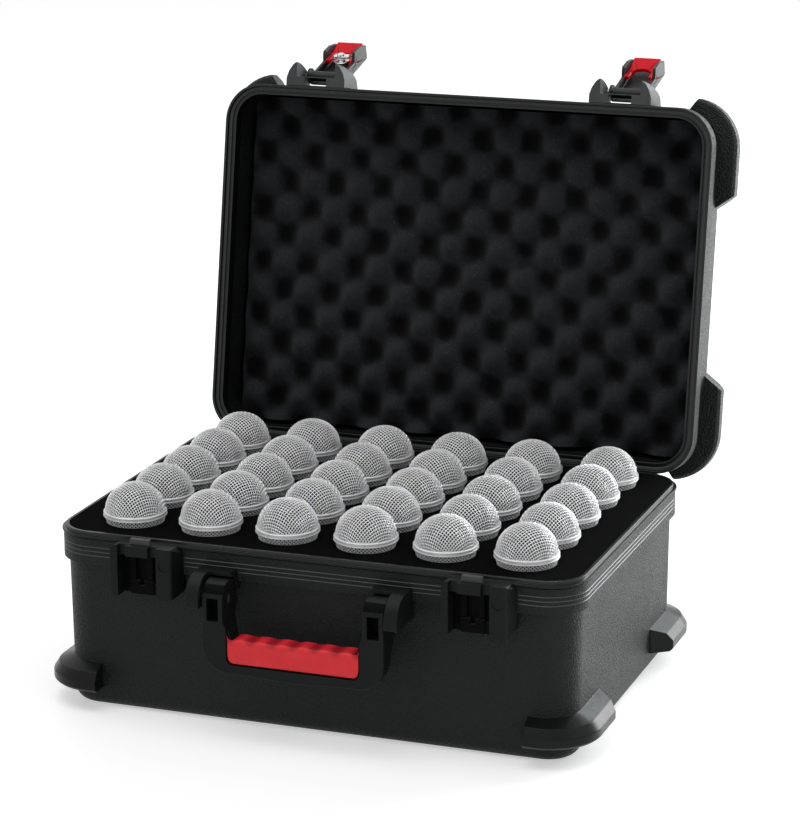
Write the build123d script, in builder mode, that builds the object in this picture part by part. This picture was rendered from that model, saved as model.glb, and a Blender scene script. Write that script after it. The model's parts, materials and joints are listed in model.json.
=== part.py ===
"""A microphone case: a moulded base and lid, two latches, a carrying handle and thirty microphones in foam.

Millimetres, +Z up. The origin is the middle of the case's flat bottom, +X runs along the long side to the
right and the front, with its latches and handle, faces -Y. The lid stands open. What belongs to the lid is
drawn in lid_plane, whose x, y and z are those of the closed case, counted from the rim's top edge.
"""

import os
from math import atan, cos, degrees, radians, sin, tan

from build123d import *

os.makedirs("parts", exist_ok=True)

# The rim where base and lid meet
rim_length = 437.8
rim_depth = 307.5
rim_radius = 32.7
rim_height = 144.6
shut_gap = 0.3
running_gap = 0.6

# Base shell
collar_height = 23.5
collar_inset = 1.0
bead_height = 2.0
bead_groove = 0.7
rib_groove_drops = (16.6, 13.1, 9.6)
rib_groove_width = 0.9
rib_groove_depth = 0.5
tub_inset = 5.2
base_draft = 0.8
bottom_round = 11.0
base_wall = 4.0
tongue_inset = 3.0
tongue_width = 2.7
tongue_height = 2.7

# Lid shell
lid_height = 60.0
lid_collar_height = 15.0
lid_step = 3.2
lid_draft = 1.0
lid_round = 13.0
lid_wall = 3.4
lid_flange = 9.0
land_width = 2.2
channel_width = 4.8
channel_depth = 4.7
lip_setback = 3.2
gasket_width = 3.0
lid_open_angle = 100.2
hinge_out = 5.75
hinge_drop = 7.9

# Corner bumpers: how far they stand out past the rim, and how far from its corners they end
base_bumper_bottom = 16.5
base_bumper_height = 21.0
base_bumper_out = (10.6, 9.75)
base_bumper_front = (40.9, 40.9)
base_bumper_side = (81.75, 68.75)
lid_bumper_bottom = 40.0
lid_bumper_height = 17.5
lid_bumper_out = (11.6, 8.85)
lid_bumper_front = (34.9, 23.9)
lid_bumper_side = (83.75, 70.75)
bumper_radius = 42.0
bumper_slope = 5.0
bumper_root = 25.0

# Microphones and the foam that holds them
mic_columns = 6
mic_rows = 5
mic_pitch_x = 65.6
mic_pitch_y = 54.5
mic_grid_y = 0.9
mic_ball_radius = 25.5
mic_ball_rise = 6.7
mic_stand_gap = 0.8
mic_neck_radius = 18.5
mic_tail_radius = 11.5
mic_basket_length = 32.0
mic_sides = 10
foam_gap = 0.9
foam_rise = 2.4
foam_split_drop = 39.0
foam_seat_drop = 22.0
pad_thickness = 10.0
lid_foam_peak = 36.0
lid_foam_inset = (10.4, 10.75)
lid_foam_chamfer = 7.0

# Latches: s runs from a lever's pivot to its tip, h is the height above the lever's outer face
latch_x = 136.9
lever_pivot_out = 9.2
lever_pivot_up = 24.0
lever_pivot_h = 9.3
lever_open_angle = 24.6
lever_width = 30.0
lever_length = 64.0
lever_heel = 2.0
lever_heel_angle = 205.0
lever_heel_skin = 3.2
lever_skin = 2.2
lever_tip_bevel = 1.2
lever_tip_h = 12.8
cheek = 2.7
cheek_start_s = 15.0
cheek_near_h = 9.0
boss_radius = 6.8
hook_grip = 2.8
hook_h = 17.2
hook_bevel = 2.0
hook_flat = 1.5
hook_end_s = 50.6
hook_fall = 0.6
tip_ribs = 3
tip_rib_start = 5.0
tip_rib_pitch = 4.0
tip_rib = (1.6, 1.2)
latch_pin_radius = 2.5
sleeve_wall = 2.0
pin_gap = 0.05
release_s = 37.0
release_h = 8.4
release_pin_radius = 1.6
release_gap = 0.4
release_heel = 3.0
release_bay = 6.0
release_plate_s = 44.0
release_wall = 2.0
release_hollow = 1.5
release_under = 6.2
release_tip_h = 14.0
release_overhang = 1.2
release_arm = 3.4
lock_s = 40.5
lock_gap = 1.2
lock_radius = 7.5
lock_height = 5.0
lock_face_radius = 5.2
lock_face_sunk = 0.2
lock_neck_radius = 3.2
lock_neck_top = 13.6
cam_h = 10.2
cam_throw = 4.2
cam_thickness = 1.6
keyway = (1.6, 6.5)
keyway_depth = 2.2
blind_wall = 2.0
ear_gap = 2.5
ear_width = 9.5
ear_proud = 2.0
ear_flank = 7.0
ear_corner = (2.0, 13.0)
ear_shoulder = (4.0, 18.4)
ear_crown = 1.2
ear_face = 3.0
ear_bow = 3.4
ear_bow_up = 17.0
ear_rear = 5.6
ear_length = 38.0
bracket_bury = 3.0
window_gap = (1.4, 0.7, 0.6)
window_lip = 0.8
front_plate = 9.0

# Catch housings on the base
catch_set_back = 5.25
catch_height = 41.6
catch_left_wall = 24.5
catch_left_front = 22.2
catch_right_wall = 34.0
catch_right_front = 29.0
catch_corner = 4.0
catch_round = 9.0
catch_chamfer = 5.0
catch_straight = 1.0
mark_x = 23.0
mark_drop = 13.6
mark_radius = 4.8
mark_depth = 0.8
slot_gap = (2.8, 1.5)
slot_top_drop = 8.4
slot_floor_gap = 1.05
slot_sill = 2.6
slot_sill_height = 9.0
striker_width = 4.8
striker_end = 1.5
notch_gap = 0.65
panel_gap = 0.65
panel_height = 11.0
panel_notch = 4.2
tab_half = 8.5
tab_out = (1.6, 7.0)
tab_height = 4.0
tab_corner = 1.2
tab_draft = 6.0

# Handle
handle_pivot_out = 15.25
handle_pivot_drop = 32.2
arm_radius = 15.0
arm_outer = 74.6
arm_width = 17.2
arm_shoulder = 6.0
arm_recess = (9.4, 18.0)
arm_recess_depth = 10.0
arm_knee = (8.0, 20.0)
bar_height = 23.5
bar_drop = 58.4
bar_thickness = 16.0
bar_bow = 2.0
bar_bow_half = 45.0
handle_corner = 21.0
handle_pin_radius = 4.0
grip_short = 2.4
grip_rise = (9.0, 7.0)
grip_bumps = 6
grip_pitch = 17.5
grip_bump_radius = 24.0
grip_corner = 6.0
grip_horn = 3.4
grip_horn_height = 5.0
grip_skin = 2.4
arm_gap = 1.4
bracket_width = 11.0
bracket_foot = 5.4
hood_skin = 2.6
hood_start = 3.0
hood_foot = 2.0
handle_pin_inset = 1.0
handle_pin_seat = 8.0
handle_pin_gap = 0.5

# Hinges
hinge_x = 137.0
hinge_length = 90.0
knuckle_radius = 4.8
knuckles = 5
knuckle_gap = 0.5
hinge_pin_radius = 2.0
leaf_thickness = 2.4
leaf_height = 13.0
leaf_bury = 1.0
leaf_bevel = (0.8, 1.5)
lid_leaf_rise = 1.0
base_leaf_rise = 2.0
web_root = 4.0
web_top = 6.0
web_touch = (0.8, 0.6)

# How far a cut runs past a face, and how deep a fitting starts inside the wall that carries it
over = 1.0
seat_depth = 3.0

# What follows from them: the rim, the foam and the microphones
rim_half_x = rim_length / 2
rim_half_y = rim_depth / 2
tub_height = rim_height - collar_height
collar_y = rim_half_y - collar_inset
lid_inner_top = lid_height - lid_wall
foam_top = rim_height + foam_rise
foam_split = foam_top - foam_split_drop
foam_seat = foam_top - foam_seat_drop
mic_ball_height = rim_height + mic_ball_rise
pad_top = base_wall + pad_thickness
mic_tail = pad_top + mic_stand_gap
flat_share = cos(radians(180 / mic_sides))
hinge_y = rim_half_y + hinge_out
hinge_z = rim_height - hinge_drop

# The latches: the catch housing's slots, notches and panel clear the shut lever, which lies upright on them
lever_face = rim_half_y + lever_pivot_out + lever_pivot_h
hook_s = lever_pivot_up + slot_top_drop + hook_grip
ear_inner = lever_width / 2 + ear_gap
ear_top = lever_pivot_out + lever_pivot_h + ear_proud
bracket_half = ear_inner + ear_width
window_half = tab_half + window_gap[0]
window_out = (tab_out[0] - window_gap[1], tab_out[1] + window_gap[2])
plate_top = window_out[1] + window_lip
catch_front = lever_face - catch_set_back
catch_bottom = rim_height - catch_height
slot_inner = lever_width / 2 - cheek - slot_gap[0]
slot_outer = lever_width / 2 + slot_gap[1]
slot_top = rim_height - slot_top_drop
slot_floor = lever_face - hook_h - slot_floor_gap
slot_sill_front = slot_floor + slot_sill
slot_sill_top = catch_bottom + slot_sill_height
notch_depth = catch_front - lever_face + cheek_near_h + notch_gap
panel_front = lever_face - release_tip_h - panel_gap
panel_top = catch_bottom + panel_height
mark_z = rim_height - mark_drop

# The handle
handle_pivot_y = -rim_half_y - handle_pivot_out
handle_pivot_z = rim_height - handle_pivot_drop
arm_inner = arm_outer - arm_width
bar_bottom = handle_pivot_z - bar_drop
bar_top = bar_bottom + bar_height
bar_rear = arm_radius - handle_pivot_y - bar_thickness
grip_half = arm_inner - grip_short
grip_bottom = bar_bottom + grip_rise[0]
grip_top = bar_top + grip_rise[1]
bracket_inner = arm_outer + arm_gap
bracket_outer = bracket_inner + bracket_width
bracket_flat = handle_pivot_z - bracket_foot
hood_radius = arm_radius + arm_gap + hood_skin


def turned(y, z, angle):
    """The point (y, z), given from the hinge's axis, turned about it by angle degrees."""
    a = radians(angle)
    return (
        hinge_y + y * cos(a) - z * sin(a),
        hinge_z + y * sin(a) + z * cos(a),
    )


lid_origin = turned(-hinge_y, rim_height - hinge_z, -lid_open_angle)
lid_plane = Plane(
    origin=(0, *lid_origin),
    x_dir=(1, 0, 0),
    z_dir=(0, sin(radians(lid_open_angle)), cos(radians(lid_open_angle))),
)


def within(frame, plane):
    """The plane given in the frame's own coordinates."""
    return Plane(frame.location * plane.location)


lever_plane = within(
    lid_plane,
    Plane(
        origin=(0, -rim_half_y - lever_pivot_out, lever_pivot_up),
        x_dir=(1, 0, 0),
        z_dir=(0, -cos(radians(lever_open_angle)), -sin(radians(lever_open_angle))),
    ),
)


def keep(piece, name):
    """Labels a finished piece and writes its file."""
    piece.part.label = name
    export_step(piece.part, f"parts/{name}.step")


def rim_outline(inset, mode=Mode.ADD):
    """The rim's outline, taken in by inset all round."""
    RectangleRounded(rim_length - 2 * inset, rim_depth - 2 * inset, rim_radius - inset, mode=mode)


def rim_ring(frame, height, outer_inset, inner_inset):
    """A flat ring that follows the rim, lying in the frame at the given height."""
    with BuildSketch(frame.offset(height)) as ring:
        rim_outline(outer_inset)
        rim_outline(inner_inset, Mode.SUBTRACT)
    return ring.sketch


def bumper_band(frame, bottom, height, out, front, side_gap):
    """Four corner bumpers: a band round the shell with a sloped top, cut into its four corners."""
    up = Axis(frame.origin, frame.z_dir)
    reach = (rim_half_x + out[0], rim_half_y + out[1])
    front_end = [rim_half_x - gap for gap in front]
    side_end = [rim_half_y - gap for gap in side_gap]
    with BuildPart() as band:
        with BuildSketch(frame.offset(bottom)):
            RectangleRounded(2 * reach[0], 2 * reach[1], bumper_radius)
        extrude(amount=height)
        chamfer(band.edges().group_by(up)[0], length=bumper_slope / 2)
        chamfer(band.edges().group_by(up)[-1], length=bumper_slope)
        with BuildSketch(frame.offset(bottom)):
            wall_x = rim_half_x - tub_inset
            wall_y = rim_half_y - tub_inset
            for side in (1, -1):
                with BuildLine():
                    Polyline(
                        (-front_end[0], side * (wall_y - bumper_root)),
                        (-front_end[0], side * wall_y),
                        (-front_end[1], side * (reach[1] + over)),
                        (front_end[1], side * (reach[1] + over)),
                        (front_end[0], side * wall_y),
                        (front_end[0], side * (wall_y - bumper_root)),
                        close=True,
                    )
                make_face()
                with BuildLine():
                    Polyline(
                        (side * (wall_x - bumper_root), -side_end[0]),
                        (side * wall_x, -side_end[0]),
                        (side * (reach[0] + over), -side_end[1]),
                        (side * (reach[0] + over), side_end[1]),
                        (side * wall_x, side_end[0]),
                        (side * (wall_x - bumper_root), side_end[0]),
                        close=True,
                    )
                make_face()
        extrude(amount=height, mode=Mode.SUBTRACT)
    return band.part


# The base's outer form, without bumpers: what is fixed to the base seats against it
with BuildPart() as base_form:
    foot_inset = tub_inset + tub_height * tan(radians(base_draft))
    with BuildSketch():
        rim_outline(tub_inset)
    extrude(amount=tub_height)
    draft(base_form.faces().filter_by(Axis.Z, reverse=True), Plane.XY.offset(tub_height), -base_draft)
    fillet(base_form.edges().group_by(Axis.Z)[0], radius=bottom_round)
    with BuildSketch(Plane.XY.offset(tub_height)):
        rim_outline(collar_inset)
    extrude(amount=collar_height)
    extrude(rim_ring(Plane.XY, rim_height - bead_height, 0, collar_inset + over), amount=bead_height)

with BuildPart() as base_hollow:
    with BuildSketch(Plane.XY.offset(base_wall)):
        rim_outline(tub_inset + base_wall)
    extrude(amount=tub_height - base_wall)
    draft(base_hollow.faces().filter_by(Axis.Z, reverse=True), Plane.XY.offset(tub_height), -base_draft)
    with BuildSketch(Plane.XY.offset(tub_height)):
        rim_outline(tub_inset + base_wall)
    extrude(amount=foam_seat - tub_height)
    with BuildSketch(Plane.XY.offset(foam_seat)):
        rim_outline(tongue_inset + tongue_width)
    extrude(amount=rim_height + tongue_height - foam_seat)

with BuildPart() as base_shell:
    add(base_form)
    add(
        bumper_band(
            Plane.XY,
            base_bumper_bottom,
            base_bumper_height,
            base_bumper_out,
            base_bumper_front,
            base_bumper_side,
        )
    )
    extrude(
        rim_ring(Plane.XY, rim_height, tongue_inset, tongue_inset + tongue_width + over),
        amount=tongue_height,
    )
    for drop in rib_groove_drops:
        extrude(
            rim_ring(Plane.XY, rim_height - drop, 0, collar_inset + rib_groove_depth),
            amount=rib_groove_width,
            mode=Mode.SUBTRACT,
        )
    extrude(
        rim_ring(Plane.XY, rim_height - bead_height - bead_groove, 0, collar_inset + rib_groove_depth),
        amount=bead_groove,
        mode=Mode.SUBTRACT,
    )
    add(base_hollow, mode=Mode.SUBTRACT)
keep(base_shell, "base_shell")


def drops(radius):
    """The openings for the microphones, cut into the sketch in hand."""
    with Locations((0, mic_grid_y)):
        with GridLocations(mic_pitch_x, mic_pitch_y, mic_columns, mic_rows):
            RegularPolygon(radius / flat_share, mic_sides, rotation=180 / mic_sides, mode=Mode.SUBTRACT)


with BuildPart() as base_pad:
    with BuildSketch(Plane.XY.offset(base_wall)):
        rim_outline(foot_inset + base_wall + shut_gap)
    extrude(amount=pad_thickness)
keep(base_pad, "base_pad")

with BuildPart() as foam_lower:
    with BuildSketch(Plane.XY.offset(pad_top)):
        rim_outline(foot_inset + base_wall + shut_gap)
        drops(mic_neck_radius + foam_gap)
    extrude(amount=foam_split - pad_top)
keep(foam_lower, "foam_lower")

with BuildPart() as foam_upper:
    with BuildSketch(Plane.XY.offset(foam_split)):
        rim_outline(foot_inset + base_wall + shut_gap)
        drops(mic_ball_radius + foam_gap)
    extrude(amount=foam_seat - foam_split)
    with BuildSketch(Plane.XY.offset(foam_seat)):
        rim_outline(tongue_inset + tongue_width + shut_gap)
        drops(mic_ball_radius + foam_gap)
    extrude(amount=foam_top - foam_seat)
keep(foam_upper, "foam_upper")


def ring(radius):
    """A many-sided ring in the sketch in hand, whose corners lie on the radius."""
    RegularPolygon(radius, mic_sides, rotation=180 / mic_sides)


def mic_grille(x, y):
    """The ball-shaped grille of one microphone: a tapered basket, a belt and two bands up to its crown."""
    neck = mic_ball_height - mic_basket_length
    rings = []
    for latitude in (-8, 8, 40, 70):
        height = mic_ball_height + mic_ball_radius * sin(radians(latitude))
        rings.append((height, mic_ball_radius * cos(radians(latitude))))
    belt_low, belt_radius = rings[0]
    basket_slope = (belt_radius - mic_neck_radius) * flat_share / (belt_low - neck)
    with BuildPart() as grille:
        with BuildSketch(Plane(origin=(x, y, neck))):
            ring(belt_radius)
        extrude(amount=belt_low - neck)
        sides = grille.faces().filter_by(Axis.Z, reverse=True)
        draft(sides, Plane.XY.offset(belt_low), -degrees(atan(basket_slope)))
        for (low, low_radius), (high, high_radius) in zip(rings, rings[1:]):
            slope = (low_radius - high_radius) * flat_share / (high - low)
            with BuildSketch(Plane(origin=(x, y, low))):
                ring(low_radius)
            extrude(amount=high - low, taper=degrees(atan(slope)))
    return grille.part


def mic_body(x, y):
    """The tapered handle that the grille screws onto."""
    neck = mic_ball_height - mic_basket_length
    slope = (mic_neck_radius - mic_tail_radius) * flat_share / (neck - mic_tail)
    with BuildPart() as body:
        with BuildSketch(Plane(origin=(x, y, mic_tail))):
            ring(mic_neck_radius)
        extrude(amount=neck - mic_tail)
        draft(body.faces().filter_by(Axis.Z, reverse=True), Plane.XY.offset(neck), -degrees(atan(slope)))
    return body.part


for row in range(mic_rows):
    for column in range(mic_columns):
        mic_x = (column - (mic_columns - 1) / 2) * mic_pitch_x
        mic_y = (row - (mic_rows - 1) / 2) * mic_pitch_y + mic_grid_y
        name = f"mic_{row + 1}_{column + 1}"
        mic = Compound(label=name, children=[mic_grille(mic_x, mic_y), mic_body(mic_x, mic_y)])
        export_step(mic, f"parts/{name}.step")

# The lid's outer form, without bumpers: what is fixed to the lid seats against it
with BuildPart() as lid_form:
    with BuildSketch(lid_plane.offset(shut_gap)):
        rim_outline(0)
    extrude(amount=lid_collar_height - shut_gap)
    with BuildSketch(lid_plane.offset(lid_collar_height)):
        rim_outline(lid_step)
    extrude(amount=lid_height - lid_collar_height, taper=lid_draft)
    fillet(lid_form.edges().group_by(Axis(lid_plane.origin, lid_plane.z_dir))[-1], radius=lid_round)

# The lid's hollow above its collar, rounded inside so that the wall keeps its thickness round the edge
with BuildPart() as lid_hollow:
    with BuildSketch(lid_plane.offset(lid_collar_height)):
        rim_outline(lid_step + lid_wall)
    extrude(amount=lid_inner_top - lid_collar_height, taper=lid_draft)
    fillet(
        lid_hollow.edges().group_by(Axis(lid_plane.origin, lid_plane.z_dir))[-1],
        radius=lid_round - lid_wall,
    )

with BuildPart() as lid_shell:
    add(lid_form)
    add(
        bumper_band(
            lid_plane,
            lid_bumper_bottom,
            lid_bumper_height,
            lid_bumper_out,
            lid_bumper_front,
            lid_bumper_side,
        )
    )
    with BuildSketch(lid_plane.offset(shut_gap)):
        rim_outline(lid_flange)
    extrude(amount=lid_collar_height - shut_gap, mode=Mode.SUBTRACT)
    add(lid_hollow, mode=Mode.SUBTRACT)
    extrude(
        rim_ring(lid_plane, shut_gap, land_width, lid_flange + over),
        amount=lip_setback - shut_gap,
        mode=Mode.SUBTRACT,
    )
    extrude(
        rim_ring(lid_plane, lip_setback, land_width, land_width + channel_width),
        amount=channel_depth - lip_setback,
        mode=Mode.SUBTRACT,
    )
keep(lid_shell, "lid_shell")

with BuildPart() as lid_gasket:
    gasket_bottom = tongue_height + shut_gap
    extrude(
        rim_ring(lid_plane, gasket_bottom, land_width, land_width + gasket_width),
        amount=channel_depth - gasket_bottom,
    )
keep(lid_gasket, "lid_gasket")

with BuildPart() as lid_foam:
    with BuildSketch(lid_plane.offset(lid_foam_peak)):
        RectangleRounded(
            rim_length - 2 * lid_foam_inset[0],
            rim_depth - 2 * lid_foam_inset[1],
            rim_radius - lid_flange,
        )
    extrude(amount=lid_inner_top - lid_foam_peak)
    chamfer(
        lid_foam.edges().group_by(Axis(lid_plane.origin, lid_plane.z_dir))[-1],
        length=lid_foam_chamfer,
    )
keep(lid_foam, "lid_foam")


def latch_bracket(x):
    """The lid's half of a latch: two ears for the lever's pin, and a plate whose window takes the tab."""
    front = -rim_half_y
    pivot = (front - lever_pivot_out, lever_pivot_up)
    half_plan = (
        (bracket_half, -lid_step - bracket_bury),
        (bracket_half, ear_flank),
        (bracket_half - ear_corner[0], ear_corner[1]),
        (ear_inner + ear_shoulder[0], ear_shoulder[1]),
        (ear_inner + ear_crown, ear_top),
        (ear_inner, ear_top),
        (ear_inner, plate_top),
    )
    left_half = [(x - across, front - out) for across, out in half_plan]
    right_half = [(x + across, front - out) for across, out in reversed(half_plan)]
    with BuildPart() as bracket:
        with BuildSketch(within(lid_plane, Plane.XY.offset(shut_gap))):
            with BuildLine():
                Polyline(*left_half, *right_half, close=True)
            make_face()
        extrude(amount=ear_length)
        # Seen from the side: flat at the rim, rounded over the pin, then down to the lid's wall
        with BuildSketch(within(lid_plane, Plane.YZ.offset(x))):
            with BuildLine():
                side = Polyline(
                    (pivot[0] - over, lever_pivot_up + ear_rear),
                    (front + lid_step + bracket_bury, ear_length),
                    (front + lid_step + bracket_bury, shut_gap),
                    (front - ear_top, shut_gap),
                    (front - ear_top, shut_gap + ear_face),
                )
                ThreePointArc(side @ 1, (front - ear_top + ear_bow, ear_bow_up), side @ 0)
            make_face()
        extrude(amount=bracket_half, both=True, mode=Mode.INTERSECT)
        # The bay between the ears, open above the front plate
        with BuildSketch(within(lid_plane, Plane.YZ.offset(x))):
            with Locations((front, front_plate + ear_length)):
                Rectangle(4 * ear_top, 2 * ear_length)
        extrude(amount=ear_inner, both=True, mode=Mode.SUBTRACT)
        # The window
        with BuildSketch(within(lid_plane, Plane.XY.offset(shut_gap))):
            with Locations((x, front - (window_out[0] + window_out[1]) / 2)):
                Rectangle(2 * window_half, window_out[1] - window_out[0])
        extrude(amount=front_plate, mode=Mode.SUBTRACT)
        with BuildSketch(within(lid_plane, Plane.YZ.offset(x))):
            with Locations(pivot):
                Circle(latch_pin_radius + pin_gap)
        extrude(amount=bracket_half - blind_wall, both=True, mode=Mode.SUBTRACT)
        add(lid_form, mode=Mode.SUBTRACT)
    return bracket


def latch_pin(x):
    """The steel pin that a lever turns on, held in the bracket's blind holes."""
    with BuildPart() as pin:
        with BuildSketch(within(lid_plane, Plane.YZ.offset(x))):
            with Locations((-rim_half_y - lever_pivot_out, lever_pivot_up)):
                Circle(latch_pin_radius)
        extrude(amount=bracket_half - blind_wall - shut_gap, both=True)
    return pin


def lever_frame(x):
    """The lever's own frame: its origin on the pivot, y along s and z along h."""
    return within(lever_plane, Plane(origin=(x, 0, 0)))


def lever_side(x):
    """The plane along the lever's middle, drawn in s and h."""
    return within(lever_frame(x), Plane(origin=(0, 0, -lever_pivot_h), x_dir=(0, 1, 0), z_dir=(1, 0, 0)))


def lock_base(x):
    """The plane of the lever's outer face, its origin on the lock's axis."""
    return within(lever_frame(x), Plane(origin=(0, lock_s, -lever_pivot_h)))


def latch_lever(x):
    """A draw lever: an outer skin with two cheeks, whose hooks pull on the catch housing on the base."""
    half = lever_width / 2
    heel = (
        boss_radius * cos(radians(lever_heel_angle)),
        lever_pivot_h + boss_radius * sin(radians(lever_heel_angle)),
    )
    with BuildPart() as lever:
        with BuildSketch(lever_side(x)):
            with BuildLine():
                Polyline(
                    (lever_heel, 0),
                    (lever_length - lever_tip_bevel, 0),
                    (lever_length, lever_tip_bevel),
                    (lever_length, lever_tip_h),
                    (hook_end_s, hook_h - hook_fall),
                    (hook_s + hook_flat, hook_h),
                    (hook_s, hook_h - hook_bevel),
                    (hook_s - hook_bevel, cheek_near_h),
                    (cheek_start_s, cheek_near_h),
                    (boss_radius, lever_pivot_h),
                    (0, lever_pivot_h),
                    heel,
                    close=True,
                )
            make_face()
            with Locations((0, lever_pivot_h)):
                Circle(boss_radius)
        extrude(amount=half, both=True)
        # The inside, between the cheeks
        with BuildSketch(lever_side(x)):
            with BuildLine():
                Polyline(
                    (boss_radius + lever_heel, lever_skin),
                    (lever_length + over, lever_skin),
                    (lever_length + over, hook_h + over),
                    (-2 * boss_radius, hook_h + over),
                    (-2 * boss_radius, lever_heel_skin),
                    (lever_heel, lever_heel_skin),
                    close=True,
                )
            make_face()
        extrude(amount=half - cheek, both=True, mode=Mode.SUBTRACT)
        # The sleeve round the pin
        with BuildSketch(lever_side(x)):
            with Locations((0, lever_pivot_h)):
                Circle(latch_pin_radius + sleeve_wall)
        extrude(amount=half, both=True)
        with BuildSketch(lever_side(x)):
            with Locations((0, lever_pivot_h)):
                Circle(latch_pin_radius + pin_gap)
            with Locations((release_s, release_h)):
                Circle(release_pin_radius + pin_gap)
        extrude(amount=half, both=True, mode=Mode.SUBTRACT)
        # Grip ribs across the tip
        for rib in range(tip_ribs):
            with BuildSketch(lever_side(x)):
                with Locations((lever_length - tip_rib_start - tip_rib_pitch * rib, 0)):
                    Rectangle(*tip_rib)
            extrude(amount=half - cheek, both=True, mode=Mode.SUBTRACT)
    return lever


def release_tab(x):
    """The release held between a lever's cheeks: pressed at the lever's tip, it tilts on its two pins."""
    half = lever_width / 2 - cheek - release_gap
    arm_low = release_h - release_pin_radius
    arm_high = release_h + release_pin_radius
    tip = lever_length + release_overhang
    with BuildPart() as tab:
        with BuildSketch(lever_side(x)):
            with BuildLine():
                Polyline(
                    (release_s - release_heel, arm_low),
                    (release_plate_s, release_under),
                    (tip, release_under),
                    (tip, release_tip_h),
                    (release_plate_s, arm_high),
                    (release_s - release_heel, arm_high),
                    close=True,
                )
            make_face()
        extrude(amount=half, both=True)
        # The underside is open, so that the tab clears the spring
        with BuildSketch(lever_side(x)):
            with Locations(((release_plate_s + tip) / 2, release_under)):
                Rectangle(tip - release_plate_s - 2 * release_wall, 2 * release_hollow)
        extrude(amount=half - release_wall, both=True, mode=Mode.SUBTRACT)
        with BuildSketch(lever_side(x)):
            with Locations((release_s, release_h)):
                Circle(release_pin_radius)
        extrude(amount=lever_width / 2, both=True)
        # Two arms reach the pins, with room between them for the lock
        with BuildSketch(lever_side(x)):
            with Locations(((release_s - release_bay + release_plate_s) / 2, release_h)):
                Rectangle(release_plate_s - release_s + release_bay, 2 * release_bay)
        extrude(amount=half - release_arm, both=True, mode=Mode.SUBTRACT)
        with BuildSketch(lock_base(x)):
            Circle(lock_radius + lock_gap)
        extrude(amount=release_tip_h + over, mode=Mode.SUBTRACT)
    return tab


def lock(x):
    """The key lock's barrel, its neck and the cam that turns under the release."""
    base = lock_base(x)
    barrel_bottom = lever_skin + running_gap
    barrel_top = barrel_bottom + lock_height
    with BuildPart() as barrel:
        with BuildSketch(base.offset(barrel_bottom)):
            Circle(lock_radius)
        extrude(amount=lock_height)
        with BuildSketch(base.offset(barrel_top)):
            Circle(lock_neck_radius)
        extrude(amount=lock_neck_top - barrel_top)
        with BuildSketch(base.offset(cam_h)):
            SlotCenterPoint((0, 0), (cam_throw, 0), 2 * lock_neck_radius)
        extrude(amount=cam_thickness)
        with BuildSketch(base.offset(lock_face_sunk)):
            Circle(lock_face_radius)
        extrude(amount=barrel_bottom - lock_face_sunk)
        # The keyway
        with BuildSketch(base.offset(lock_face_sunk)):
            Rectangle(*keyway)
        extrude(amount=keyway_depth, mode=Mode.SUBTRACT)
    return barrel


for side, x in (("left", -latch_x), ("right", latch_x)):
    bracket = latch_bracket(x)
    keep(bracket, f"latch_bracket_{side}")
    pin = latch_pin(x)
    keep(pin, f"latch_pin_{side}")
    lever = latch_lever(x)
    if side == "left":
        with BuildPart() as lever:
            add(latch_lever(x))
            with BuildSketch(lock_base(x)):
                Circle(lock_face_radius + pin_gap)
            extrude(amount=lever_skin, mode=Mode.SUBTRACT)
    keep(lever, f"latch_lever_{side}")
    tab = release_tab(x)
    keep(tab, f"release_{side}")

lock_cylinder = lock(-latch_x)
keep(lock_cylinder, "lock_cylinder")


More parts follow.
